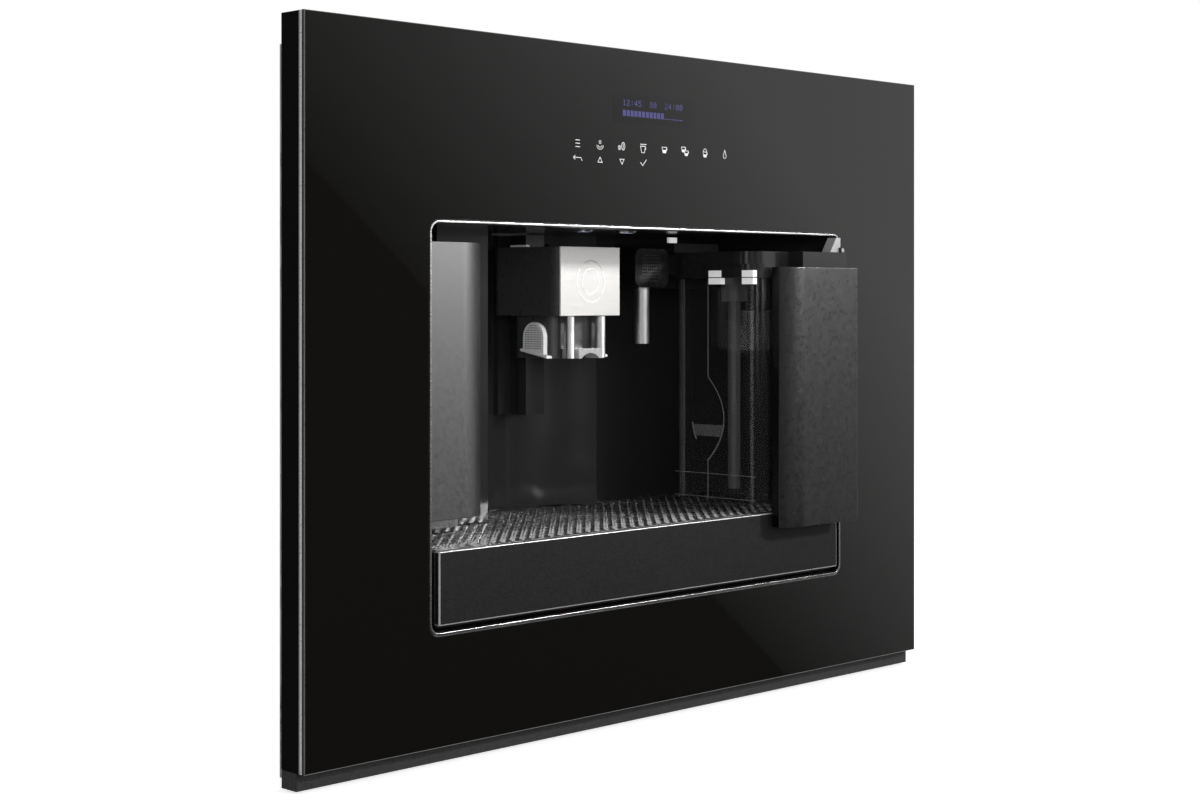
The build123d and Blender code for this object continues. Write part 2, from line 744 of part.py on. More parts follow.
def milk_spout_head():
    x = around(MILK_TUBE_X, HEAD_W)
    y = depth(HEAD_FRONT, HEAD_FRONT + HEAD_D)
    head = rounded_window(x, y, (HEAD_Z, HEAD_Z + HEAD_H), HEAD_R)
    head += block((MILK_TUBE_X, LID_LEFT), grown(y, -4), (JUG_TOP + 2, LID_TOP - 2))
    bore = (HEAD_Z - 1, HEAD_Z + MILK_TUBE_IN + 2)
    return head - post(MILK_TUBE_X, FRONT + HEAD_FRONT + HEAD_D / 2, bore, MILK_TUBE_R + SHAFT_GAP)


def milk_spout_tube():
    y = FRONT + HEAD_FRONT + HEAD_D / 2
    z = (HEAD_Z - MILK_TUBE_DROP, HEAD_Z + MILK_TUBE_IN)
    return post(MILK_TUBE_X, y, z, MILK_TUBE_R) - post(MILK_TUBE_X, y, grown(z, 1), MILK_TUBE_BORE)


def lever_pin():
    """Middle of the pin on which the lid's lever tips."""
    x = JUG_RIGHT + 2 - EAR_T
    return (x, FRONT + LID_FRONT + LEVER_D, LID_TOP + LEVER_PIN_R + GAP)


def lid_lever():
    x, y, z = lever_pin()
    low = LID_TOP + GAP
    top = LID_TOP + LEVER_H
    side = Polyline((x - LEVER_W, low), (x, low), (x, top), (x - 5, top), close=True)
    wedge = Pos(0, y, 0) * extrude(Plane.XZ * make_face(side), LEVER_D / 2, both=True)
    return wedge + rod_y(x, around(y, LEVER_D + 2 * GAP + 2 * EAR_T), z, LEVER_PIN_R)


def milk_dock():
    x = around(FROTH_X, DOCK_W)
    front = LID_BACK + EASY_GAP
    dock = block(x, depth(front, LINER_D), around(NOZZLE_Z, DOCK_H))
    dock += rod_y(FROTH_X, depth(LID_BACK + GAP, front), NOZZLE_Z, NOZZLE_R)
    return dock - rod_y(FROTH_X, depth(LID_BACK, LINER_D + 1), NOZZLE_Z, NOZZLE_BORE)


# Casing


def chassis_base():
    x = (-CASE_HALF, CASE_HALF)
    y = (CASE_FRONT, CASE_BACK)
    lip = PAN_Z + PAN_LIP
    return block(x, y, (PAN_Z, lip)) - block(grown(x, -PAN_T), grown(y, 1), (PAN_TOP, lip + 1))


def side_panels():
    x = (CASE_HALF, CASE_HALF + SHEET)
    panel = block(x, (CASE_FRONT, CASE_BACK), (PANEL_LIFT, CASE_TOP))
    for row in range(VENT_ROWS):
        z = CASE_TOP - 40 - row * VENT_PITCH
        panel -= block(grown(x, 1), around(CASE_BACK - 90, VENT_W), around(z, VENT_H))
    return both_sides(panel)


def rear_panel():
    y = (CASE_BACK, CASE_BACK + SHEET)
    panel = block(grown((-CASE_HALF, CASE_HALF), SHEET), y, (PAN_Z, CASE_TOP))
    for x in (-CASE_HALF / 2, CASE_HALF / 2):
        for row in range(VENT_ROWS):
            z = DECK_Z - 40 - row * VENT_PITCH
            panel -= block(around(x, VENT_W), grown(y, 1), around(z, VENT_H))
    panel -= block(around(INLET_X, INLET_W), grown(y, 1), around(INLET_Z, INLET_H))
    return panel - block(around(SWITCH_X, SWITCH_W), grown(y, 1), around(INLET_Z, SWITCH_H))


def top_cover():
    x = grown((-CASE_HALF, CASE_HALF), SHEET)
    cover = block(x, (CASE_FRONT, CASE_BACK + SHEET), (CASE_TOP, CASE_TOP + SHEET))
    z = (CASE_TOP - 1, CASE_TOP + SHEET + 1)
    cover -= block(grown(HOPPER_X, GAP), grown(HOPPER_Y, GAP), z)
    cover -= block(grown(TANK_X, EASY_GAP), grown(TANK_Y, EASY_GAP), z)
    return cover - post(KNOB_X, KNOB_Y, z, BURR_SHAFT_R + SHAFT_GAP)


def inner_deck():
    y = (DECK_FRONT, CASE_BACK)
    deck = block((-CASE_HALF, DIVIDER_X), y, (DECK_Z, DECK_Z + PAN_T))
    deck += block((DIVIDER_X - PAN_T, DIVIDER_X), y, (PAN_TOP, DECK_Z))
    z = (DECK_Z - 1, DECK_Z + PAN_T + 1)
    deck -= block(around(BREW_X, CHUTE_W + 2 * EASY_GAP), around(BREW_Y - 30, 30), z)
    deck -= post(0, PUMP_Y, z, PIPE_R + EASY_GAP)
    hole_x = (DIVIDER_X - PAN_T - 1, DIVIDER_X + 1)
    return deck - rod_x(hole_x, PUMP_Y + 40, INLET_Z, PIPE_R + EASY_GAP)


def casing_screws():
    y = (CASE_BACK + SHEET, CASE_BACK + SHEET + SCREW_HEAD_T)
    x = CASE_HALF - SCREW_IN
    heights = (PAN_Z + SCREW_IN, (PAN_Z + CASE_TOP) / 2, CASE_TOP - SCREW_IN)
    low, middle, high = [rod_y(x, y, z, SCREW_HEAD_R) for z in heights]
    return both_sides(low + middle + high)


# Rails


def channel(x_web, lip, inner_half):
    """Channel that opens towards the machine, with its web's inner face at x_web."""
    y = (RAIL_FRONT, RAIL_BACK)
    outer = block((x_web - lip, x_web + RAIL_T), y, around(RAIL_Z, 2 * (inner_half + RAIL_T)))
    return outer - block((x_web - lip - 1, x_web), grown(y, 1), around(RAIL_Z, 2 * inner_half))


def outer_web():
    return BRACKET_HALF - BRACKET_T - RAIL_T


def middle_web():
    return outer_web() - GAP - RAIL_T


def rail_brackets():
    y = (RAIL_FRONT, RAIL_BACK)
    bracket = block((BRACKET_HALF - BRACKET_T, BRACKET_HALF), y, (0, BRACKET_H))
    flange = block((BRACKET_HALF - FLANGE_W, BRACKET_HALF), y, (0, BRACKET_T))
    for hole_y in (-SHELF_SCREW_Y / 2, SHELF_SCREW_Y / 2):
        flange -= post(SHELF_SCREW_X / 2, hole_y, (-1, BRACKET_T + 1), SHELF_SCREW_R)
    return both_sides(bracket + flange)


def rail_outer():
    return both_sides(channel(outer_web(), RAIL_LIP, RAIL_BAR_H / 2 + 2 * GAP + RAIL_T))


def rail_middle():
    return both_sides(channel(middle_web(), RAIL_LIP, RAIL_BAR_H / 2 + GAP))


def rail_inner():
    x = (CASE_HALF, middle_web() - GAP)
    return both_sides(block(x, (RAIL_FRONT, RAIL_BACK), around(RAIL_Z, RAIL_BAR_H)))


# Brewing


def screw_place():
    return (BREW_X + SCREW_OFF_X, BREW_Y + SCREW_OFF_Y)


def brew_frame():
    x = around(BREW_X, BREW_W)
    y = (BREW_Y - BREW_D / 2, BREW_Y + BREW_D / 2)
    screw_x, screw_y = screw_place()
    lower = block(x, y, (BREW_DECK_Z, BREW_DECK_Z + BREW_PLATE))
    upper = block(x, y, (BREW_TOP - BREW_PLATE, BREW_TOP))
    back = block(x, (y[1] - 6, y[1]), (PAN_TOP, BREW_TOP))
    feet = block(x, (y[0], y[0] + 6), (PAN_TOP, BREW_DECK_Z))
    piston = post(BREW_X, BREW_Y, (PISTON_Z, PISTON_Z + 14), BORE_R - GAP)
    piston += post(BREW_X, BREW_Y, (PISTON_Z, BREW_TOP - BREW_PLATE), BORE_R / 2)
    frame = lower + upper + back + feet + piston
    frame -= post(screw_x, screw_y, (BREW_DECK_Z - 1, BREW_TOP - 2), SCREW_R + SHAFT_GAP)
    chute_z = (BREW_TOP - BREW_PLATE - 1, BREW_TOP + 1)
    return frame - block(around(BREW_X, CHUTE_W), around(BREW_Y - 30, 20), chute_z)


def brew_chamber():
    screw_x, screw_y = screw_place()
    z = (CHAMBER_Z, CHAMBER_Z + CHAMBER_H)
    cup = post(BREW_X, BREW_Y, z, CHAMBER_R)
    arm_z = (CHAMBER_Z, CHAMBER_Z + 14)
    cup += post(screw_x, screw_y, arm_z, SCREW_R + 5)
    cup += block((BREW_X, screw_x), (BREW_Y, screw_y), arm_z)
    cup -= post(BREW_X, BREW_Y, (CHAMBER_Z + CHAMBER_FLOOR, z[1] + 1), BORE_R)
    return cup - post(screw_x, screw_y, grown(arm_z, 1), SCREW_R + SHAFT_GAP)


def lead_screw():
    x, y = screw_place()
    return post(x, y, (BREW_DECK_Z - 9, BREW_TOP - 2.5), SCREW_R)


def brew_motor():
    x, y = screw_place()
    motor = post(x, y, (BREW_DECK_Z - MOTOR_H, BREW_DECK_Z), MOTOR_R)
    return motor - post(x, y, (BREW_DECK_Z - 10, BREW_DECK_Z + 1), SCREW_R + SHAFT_GAP)


def grinder_motor():
    return post(GRINDER_X, GRINDER_Y, (DECK_Z + PAN_T, GRINDER_Z), GRINDER_MOTOR_R)


def grinder_housing():
    z = (GRINDER_Z, GRINDER_TOP)
    cup = post(GRINDER_X, GRINDER_Y, z, GRINDER_R)
    chute_y = (BREW_Y - 40, GRINDER_Y)
    cup += block(around(BREW_X, CHUTE_W), chute_y, (GRINDER_Z, GRINDER_Z + 20))
    cup += block(around(BREW_X, CHUTE_W), (BREW_Y - 40, BREW_Y - 20), (BREW_TOP + 1, GRINDER_Z + 20))
    duct = CHUTE_W - 6
    cup -= block(around(BREW_X, duct), (BREW_Y - 37, GRINDER_Y), (GRINDER_Z + 8, GRINDER_Z + 17))
    cup -= block(around(BREW_X, duct), (BREW_Y - 37, BREW_Y - 23), (BREW_TOP, GRINDER_Z + 17))
    cup -= post(GRINDER_X, GRINDER_Y, (GRINDER_Z + 6, GRINDER_TOP + 1), GRINDER_R - GRINDER_WALL)
    return cup - post(GRINDER_X, GRINDER_Y, (GRINDER_Z - 1, GRINDER_TOP), BURR_SHAFT_R + SHAFT_GAP)


def burr():
    low = GRINDER_Z + 6 + GAP
    disc = post(GRINDER_X, GRINDER_Y, (low, low + BURR_H - 4), BURR_R)
    cone = Pos(GRINDER_X, GRINDER_Y, low + BURR_H - 2) * Cone(BURR_R - 14, 8, 4)
    shaft = post(GRINDER_X, GRINDER_Y, (GRINDER_Z + GAP, low), BURR_SHAFT_R)
    return disc + cone + shaft


def ring_burr():
    low = GRINDER_Z + 6 + BURR_H + 2 * GAP
    ring = post(GRINDER_X, GRINDER_Y, (low, low + 8), GRINDER_R - GRINDER_WALL)
    return ring - post(GRINDER_X, GRINDER_Y, (low - 1, low + 9), 16)


def funnel(inset):
    """Solid between the hopper's mouth and its neck, drawn in by a wall."""
    mouth_x = grown(HOPPER_X, -inset)
    mouth_y = grown(HOPPER_Y, -inset)
    mouth = Rectangle(mouth_x[1] - mouth_x[0], mouth_y[1] - mouth_y[0])
    middle = ((mouth_x[0] + mouth_x[1]) / 2, (mouth_y[0] + mouth_y[1]) / 2)
    throat = Rectangle(2 * (NECK_R - inset), 2 * (NECK_R - inset))
    low = GRINDER_TOP + 4
    top = HOPPER_TOP - 30
    cone = loft([Pos(GRINDER_X, GRINDER_Y, low + inset) * throat, Pos(*middle, top) * mouth])
    return cone + block(mouth_x, mouth_y, (top, HOPPER_TOP))


def bean_hopper():
    low = GRINDER_Z + 6 + BURR_H + 2 * GAP + 8
    hopper = funnel(0) + post(GRINDER_X, GRINDER_Y, (low, GRINDER_TOP + 6), NECK_R - 2)
    rim_z = (HOPPER_TOP, HOPPER_TOP + HOPPER_RIM_T)
    hopper += block(grown(HOPPER_X, HOPPER_RIM), grown(HOPPER_Y, HOPPER_RIM), rim_z)
    inside = funnel(HOPPER_WALL)
    mouth_z = (HOPPER_TOP - 5, HOPPER_TOP + 3)
    inside += block(grown(HOPPER_X, -HOPPER_WALL), grown(HOPPER_Y, -HOPPER_WALL), mouth_z)
    inside += post(GRINDER_X, GRINDER_Y, (low - 1, GRINDER_TOP + 12), NECK_R - 2 - HOPPER_WALL)
    return hopper - inside


def hinged_lid(x, y, z):
    """Flat lid with a pin along its rear edge."""
    lid = block(x, y, (z, z + LID_T))
    return lid + rod_x(grown(x, -10), y[1], z + LID_PIN_R, LID_PIN_R)


def hopper_lid():
    y = (HOPPER_Y[0] - HOPPER_RIM, HOPPER_Y[1] + HOPPER_RIM - LID_PIN_R)
    return hinged_lid(grown(HOPPER_X, HOPPER_RIM), y, HOPPER_TOP + HOPPER_RIM_T + GAP)


def grind_knob():
    z = CASE_TOP + SHEET + GAP
    knob = post(KNOB_X, KNOB_Y, (z, z + KNOB_H), KNOB_R)
    grip = block(around(KNOB_X, 4), around(KNOB_Y, 2 * KNOB_R - 4), (z + 2, z + KNOB_H + 1))
    well = post(KNOB_X, KNOB_Y, (z + 3, z + KNOB_H + 1), KNOB_R - 2)
    return knob - well + grip + post(KNOB_X, KNOB_Y, (CASE_TOP - 10, z), BURR_SHAFT_R)


# Water


def water_tank():
    tank = rounded_post(TANK_X, TANK_Y, (TANK_Z, TANK_TOP), TANK_R)
    inside = (grown(TANK_X, -TANK_WALL), grown(TANK_Y, -TANK_WALL), (TANK_Z + TANK_WALL, TANK_TOP + 1))
    tank -= rounded_post(*inside, TANK_R - TANK_WALL)
    return tank + post(*valve_place(), (TANK_Z - VALVE_DROP, TANK_Z), VALVE_R)


def valve_place():
    return ((TANK_X[0] + TANK_X[1]) / 2, PUMP_Y + 40)


def tank_lid():
    y = (TANK_Y[0], TANK_Y[1] - LID_PIN_R)
    return hinged_lid(TANK_X, y, TANK_TOP + GAP)


def tank_cradle():
    x = (DIVIDER_X + 1, CASE_HALF - PAN_T - 0.5)
    y = grown(TANK_Y, 2)
    top = TANK_Z - GAP
    cradle = block(x, y, (PAN_TOP, top))
    cradle -= block(grown(x, -CRADLE_WALL), grown(y, -CRADLE_WALL), (PAN_TOP - 1, top - CRADLE_WALL))
    cradle += post(*valve_place(), (TANK_Z - 20, top - CRADLE_WALL), VALVE_R + EASY_GAP + 2)
    return cradle - post(*valve_place(), (TANK_Z - 14, TANK_Z + 1), VALVE_R + EASY_GAP)


def boiler():
    z = DECK_Z + PAN_T
    body = block(BOILER_X, BOILER_Y, (z + BOILER_FOOT, z + BOILER_H))
    for x in (BOILER_X[0] + 10, BOILER_X[1] - 10):
        for y in (BOILER_Y[0] + 10, BOILER_Y[1] - 10):
            body += post(x, y, (z, z + BOILER_FOOT), 5)
    for row in range(5):
        groove_x = BOILER_X[0] + 15 + row * 20
        body -= block(around(groove_x, 6), grown(BOILER_Y, 1), (z + BOILER_H - 6, z + BOILER_H + 1))
    return body


def pump():
    body = rod_x(PUMP_X, PUMP_Y, PUMP_Z, PUMP_R)
    middle = (PUMP_X[0] + PUMP_X[1]) / 2
    for x in (middle - 25, middle + 25):
        body += block(around(x, 8), around(PUMP_Y, PUMP_R), (PAN_TOP, PUMP_Z))
    return body


def pipe(*points):
    """Round pipe along straight runs with bends between them."""
    path = FilletPolyline(*points, radius=PIPE_BEND)
    ring = Plane(origin=path @ 0, z_dir=path % 0) * Circle(PIPE_R)
    return sweep(ring, path=path)


def water_pipes():
    cradle_x = DIVIDER_X + 1
    tank_y = PUMP_Y + 40
    boiler_z = DECK_Z + PAN_T + BOILER_H / 2
    suction = pipe(
        (cradle_x, tank_y, INLET_Z),
        (PUMP_X[1] + 30, tank_y, INLET_Z),
        (PUMP_X[1] + 30, PUMP_Y, PUMP_Z),
        (PUMP_X[1], PUMP_Y, PUMP_Z),
    )
    pressure = pipe(
        (PUMP_X[0], PUMP_Y, PUMP_Z),
        (0, PUMP_Y, PUMP_Z),
        (0, PUMP_Y, boiler_z),
        (0, PUMP_Y - 30, boiler_z),
        (BOILER_X[0], PUMP_Y - 30, boiler_z),
    )
    steam = pipe(
        (FROTH_X - 25, BOILER_Y[0], NOZZLE_Z - 10),
        (FROTH_X - 25, BOILER_Y[0] - 14, NOZZLE_Z - 10),
        (FROTH_X, BOILER_Y[0] - 14, NOZZLE_Z),
        (FROTH_X, FRONT + LINER_D, NOZZLE_Z),
    )
    return suction + pressure + steam


# Electrics


def control_board():
    y = CASE_BACK - CONTROL_STAND
    board = block(CONTROL_X, (y - BOARD_T, y), CONTROL_Z)
    for x in (CONTROL_X[0] + 8, CONTROL_X[1] - 8):
        for z in (CONTROL_Z[0] + 8, CONTROL_Z[1] - 8):
            board += rod_y(x, (y, CASE_BACK), z, 3)
    relay_y = (y - BOARD_T - 16, y - BOARD_T)
    for column in range(4):
        x = CONTROL_X[0] + 30 + column * 32
        board += block(around(x, 20), relay_y, around(CONTROL_Z[0] + 30, 18))
    supply_y = (relay_y[0] - 10, relay_y[1])
    return board + block(around(CONTROL_X[0] + 50, 46), supply_y, around(CONTROL_Z[1] - 40, 40))


def power_inlet():
    y = (CASE_BACK - INLET_D, CASE_BACK + SHEET + 2)
    body = block(around(INLET_X, INLET_W), y, around(INLET_Z, INLET_H))
    flange_y = (CASE_BACK + SHEET, CASE_BACK + SHEET + 2)
    body += block(around(INLET_X, INLET_W + 14), flange_y, around(INLET_Z, INLET_H + 4))
    body -= block(around(INLET_X, INLET_W - 4), (y[1] - 16, y[1] + 1), around(INLET_Z, INLET_H - 4))
    for x in (-7, 0, 7):
        body += block(around(INLET_X + x, 2), (y[1] - 16, y[1] - 3), around(INLET_Z, 4))
    return body


def switch_frame():
    y = (CASE_BACK - 14, CASE_BACK + SHEET + 1.5)
    frame = block(around(SWITCH_X, SWITCH_W), y, around(INLET_Z, SWITCH_H))
    lip_y = (CASE_BACK + SHEET, CASE_BACK + SHEET + 1.5)
    frame += block(around(SWITCH_X, SWITCH_W + 4), lip_y, around(INLET_Z, SWITCH_H + 4))
    frame -= block(around(SWITCH_X, SWITCH_W - 3), (y[0] + 2, y[1] + 1), around(INLET_Z, SWITCH_H - 3))
    return frame - rod_x(around(SWITCH_X, SWITCH_W - 0.5), CASE_BACK, INLET_Z, LEVER_PIN_R + SHAFT_GAP)


def switch_rocker():
    half = (SWITCH_H - 3) / 2 - 1
    nose = CASE_BACK + SHEET + 3
    back = CASE_BACK - 3
    corners = ((back, -half), (nose - 2, -half), (nose - 3, 0), (nose, half), (back, half))
    side = Polyline(*corners, close=True)
    width = SWITCH_W - 3 - 2 * GAP
    rocker = Pos(SWITCH_X - width / 2, 0, INLET_Z) * extrude(Plane.YZ * make_face(side), width)
    return rocker + rod_x(around(SWITCH_X, SWITCH_W - 1), CASE_BACK, INLET_Z, LEVER_PIN_R)


NODES = (
    glass_panel,
    niche_trim,
    front_frame,
    vent_strip,
    display_module,
    touch_board,
    niche_liner,
    cup_lights,
    service_door,
    door_lugs,
    grounds_container,
    drip_tray,
    tray_front,
    tray_grille,
    spout_housing,
    spout_plate,
    coffee_tubes,
    spout_bridge,
    spout_grips,
    spout_guide,
    milk_tank,
    milk_lid,
    milk_cover,
    froth_unit,
    intake_tube,
    milk_spout_head,
    milk_spout_tube,
    lid_lever,
    milk_dock,
    chassis_base,
    side_panels,
    rear_panel,
    top_cover,
    inner_deck,
    casing_screws,
    rail_brackets,
    rail_outer,
    rail_middle,
    rail_inner,
    brew_frame,
    brew_chamber,
    lead_screw,
    brew_motor,
    grinder_motor,
    grinder_housing,
    burr,
    ring_burr,
    bean_hopper,
    hopper_lid,
    grind_knob,
    water_tank,
    tank_lid,
    tank_cradle,
    boiler,
    pump,
    water_pipes,
    control_board,
    power_inlet,
    switch_frame,
    switch_rocker,
)

os.makedirs("parts", exist_ok=True)
for node in NODES:
    export_step(node(), f"parts/{node.__name__}.step")
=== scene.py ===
import json
import math

import bmesh
import bpy
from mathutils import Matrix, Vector

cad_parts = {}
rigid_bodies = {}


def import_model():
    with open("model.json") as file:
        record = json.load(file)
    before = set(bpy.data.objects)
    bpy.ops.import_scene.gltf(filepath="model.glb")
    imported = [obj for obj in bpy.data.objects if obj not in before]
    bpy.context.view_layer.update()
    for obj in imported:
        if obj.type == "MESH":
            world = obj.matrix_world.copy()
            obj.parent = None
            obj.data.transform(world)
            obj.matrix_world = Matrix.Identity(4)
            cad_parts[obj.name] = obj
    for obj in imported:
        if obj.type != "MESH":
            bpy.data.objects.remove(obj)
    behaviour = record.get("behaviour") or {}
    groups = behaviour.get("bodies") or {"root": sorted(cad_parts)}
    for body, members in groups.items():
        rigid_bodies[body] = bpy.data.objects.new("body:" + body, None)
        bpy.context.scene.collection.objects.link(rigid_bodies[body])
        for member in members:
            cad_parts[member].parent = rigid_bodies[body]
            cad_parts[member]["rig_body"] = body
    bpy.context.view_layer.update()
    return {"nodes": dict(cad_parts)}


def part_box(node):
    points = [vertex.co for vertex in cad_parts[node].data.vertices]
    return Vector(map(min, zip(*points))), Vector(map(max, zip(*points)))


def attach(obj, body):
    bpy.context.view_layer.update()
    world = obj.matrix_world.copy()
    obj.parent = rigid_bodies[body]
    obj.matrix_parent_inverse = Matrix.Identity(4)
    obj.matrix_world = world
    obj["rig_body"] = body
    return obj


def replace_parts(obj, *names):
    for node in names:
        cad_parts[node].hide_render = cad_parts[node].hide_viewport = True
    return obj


# Built-in coffee machine with a black glass front, seen a little from its left. Metres, in the
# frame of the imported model: +X right, +Y into the cupboard, +Z up, the glass face at y = -0.213.

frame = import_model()
scene = bpy.context.scene
scene.view_settings.view_transform = "Standard"


# ---------------------------------------------------------------- the photographer's room
# White room with a pale floor at the height of the cupboard's shelf. A white panel stands where
# the next cupboard front would be, left of the machine, and hides the casing as a kitchen does.


class Value:
    """What comes out of a shader node. Sums on it add Math nodes."""

    def __init__(self, shader, socket):
        self.shader = shader
        self.socket = socket

    def _maths(self, operation, first, second):
        return self.shader.node("Math", {"operation": operation}, {0: first, 1: second})

    def __add__(self, other):
        return self._maths("ADD", self, other)

    def __sub__(self, other):
        return self._maths("SUBTRACT", self, other)

    def __rsub__(self, other):
        return self._maths("SUBTRACT", other, self)

    def __mul__(self, other):
        return self._maths("MULTIPLY", self, other)

    def __gt__(self, other):
        return self._maths("GREATER_THAN", self, other)

    def __lt__(self, other):
        return self._maths("LESS_THAN", self, other)

    def __or__(self, other):
        return self._maths("MAXIMUM", self, other)

    __radd__ = __add__
    __rmul__ = __mul__


class Shader:
    """A node tree of a material or of the world."""

    def __init__(self, tree):
        self.tree = tree

    def node(self, kind, settings=None, inputs=None, out=0):
        made = self.tree.nodes.new("ShaderNode" + kind)
        for name, setting in (settings or {}).items():
            if name == "stops":
                for index, (place, colour) in enumerate(setting):
                    stops = made.color_ramp.elements
                    stop = stops[index] if index < 2 else stops.new(place)
                    stop.position = place
                    stop.color = colour
            else:
                setattr(made, name, setting)
        for name, value in (inputs or {}).items():
            if isinstance(value, Value):
                self.tree.links.new(value.socket, made.inputs[name])
            else:
                made.inputs[name].default_value = value
        return Value(self, made.outputs[out])

    def blend(self, share, low, high):
        """Colour between two colours."""
        mixed = {0: share, 6: low, 7: high}
        return self.node("Mix", {"data_type": "RGBA"}, mixed, out=2)


def grey(level):
    return (level, level, level, 1.0)


def seen_directly(shader):
    """1 for the camera, and for what shines or shows through on the machine."""
    kinds = ("Is Camera Ray", "Is Glossy Ray", "Is Transmission Ray")
    camera_ray, glossy_ray, through_ray = [shader.node("LightPath", out=kind) for kind in kinds]
    return camera_ray | glossy_ray | through_ray


def oblong(across, up):
    """Corners of a rectangle between two pairs of limits."""
    return [(across[0], up[0]), (across[1], up[0]), (across[1], up[1]), (across[0], up[1])]


def white_room(level):
    room = bpy.data.worlds.new("room")
    room.use_nodes = True
    scene.world = room
    shader = Shader(room.node_tree)
    background = room.node_tree.nodes["Background"]
    strength = level + (1.0 - level) * seen_directly(shader)
    room.node_tree.links.new(strength.socket, background.inputs["Strength"])
    background.inputs["Color"].default_value = grey(1.0)


def studio_surface(name, shape, colour, glow, for_camera=True):
    """A flat piece of the room whose own glow shows only where it is seen directly."""
    mesh = bpy.data.meshes.new(name)
    mesh.from_pydata(shape, [], [list(range(len(shape)))])
    surface = bpy.data.objects.new(name, mesh)
    scene.collection.objects.link(surface)
    material = bpy.data.materials.new(name)
    material.use_nodes = True
    shader = Shader(material.node_tree)
    principled = material.node_tree.nodes["Principled BSDF"]
    principled.inputs["Base Color"].default_value = grey(colour)
    principled.inputs["Roughness"].default_value = 0.9
    principled.inputs["Specular IOR Level"].default_value = 0.0
    principled.inputs["Emission Color"].default_value = grey(1.0)
    strength = glow * seen_directly(shader)
    material.node_tree.links.new(strength.socket, principled.inputs["Emission Strength"])
    mesh.materials.append(material)
    surface.visible_camera = for_camera
    return surface, shader, principled


def area_lamp(name, place, aim, size, power):
    light = bpy.data.lights.new(name, "AREA")
    light.shape = "RECTANGLE"
    light.size, light.size_y = size
    light.energy = power
    lamp = bpy.data.objects.new(name, light)
    scene.collection.objects.link(lamp)
    lamp.location = place
    lamp.rotation_mode = "QUATERNION"
    lamp.rotation_quaternion = (Vector(aim) - Vector(place)).to_track_quat("-Z", "Y")
    return lamp


white_room(0.5)
pale, pale_glow = 0.62, 0.72
floor_corners = [(x, y, -0.0005) for x, y in oblong((-6.0, 6.0), (-6.0, 6.0))]
floor = studio_surface("floor", floor_corners, pale, pale_glow)[0]
panel_corners = [(x, -0.1905, z) for x, z in oblong((-0.52, -0.2985), (0.0, 0.455))]
next_front = studio_surface("next_cupboard_front", panel_corners, pale, pale_glow)[0]
floor.visible_glossy = next_front.visible_glossy = False

# Dark card in front of the machine, as a photographer sets up for black glass: its slanting top
# edge shows in the glass, and above it the room's light falls off from the upper right.
card_corners = [(x, -1.25, z) for x, z in oblong((-2.5, 4.5), (-3.0, 3.0))]
card, card_shader, card_surface = studio_surface("dark_card", card_corners, 0.0, 0.0, False)
edge_from, edge_to = Vector((0.494, 0.450)), Vector((1.400, -0.290))
along = (edge_to - edge_from).normalized()
place = card_shader.node("TexCoord", out="Object")
card_x, card_z = [card_shader.node("SeparateXYZ", {}, {0: place}, out=axis) for axis in ("X", "Z")]
above = (card_z - edge_from.y) * along.x - (card_x - edge_from.x) * along.y
fall = card_shader.node("MapRange", {}, {0: above, 1: 0.0, 2: 0.62, 3: 0.05, 4: 0.88})
lit = fall * (above > 0.0) + 0.03
shown = lit * card_shader.node("LightPath", out="Is Glossy Ray")
card_shader.tree.links.new(shown.socket, card_surface.inputs["Emission Strength"])

# The dark flag beside the machine is what the left edges of glass and frame mirror.
flag_corners = [(x, 0.45, z) for x, z in oblong((-1.4, -0.6), (-1.5, 1.5))]
flag = studio_surface("dark_flag", flag_corners, 0.0, 0.02, False)[0]
for shade in (card, flag):
    shade.visible_diffuse = shade.visible_transmission = False
    shade.visible_shadow = shade.visible_volume_scatter = False

# Two soft lamps in front and one behind light the machine. The small sheen lamp adds only the
# highlight on the curved jug cover.
area_lamp("window_light", (0.3, -1.75, 0.6), (0.0, -0.2, 0.25), (0.7, 0.7), 14.0)
area_lamp("left_light", (-1.3, -1.9, 0.5), (0.0, -0.1, 0.25), (0.8, 0.6), 10.0)
sheen = area_lamp("sheen_light", (0.975, -1.2, 0.74), (0.17, -0.23, 0.3), (0.2, 0.12), 52.0)
sheen.visible_diffuse = False
area_lamp("back_light", (0.8, 1.9, 1.5), (0.0, 0.0, 0.2), (1.2, 1.2), 16.0)

# The camera stands where the photographer stood, level, to the left of the machine.
camera = bpy.data.objects.new("camera", bpy.data.cameras.new("camera"))
scene.collection.objects.link(camera)
camera.data.sensor_width = 36.0
camera.data.lens = 60.93
camera.data.shift_y = -0.0858
camera.location = (-1.0127, -1.1614, 0.2892)
camera.rotation_mode = "QUATERNION"
camera.rotation_quaternion = Vector((0.7108, 0.7034, 0.0)).to_track_quat("-Z", "Y")
scene.camera = camera


# ---------------------------------------------------------------- front glass
# One sheet of 6 mm float glass, black enamel fired on its back, its edges ground and polished to
# a small pale chamfer. It is glued to the metal frame behind it.


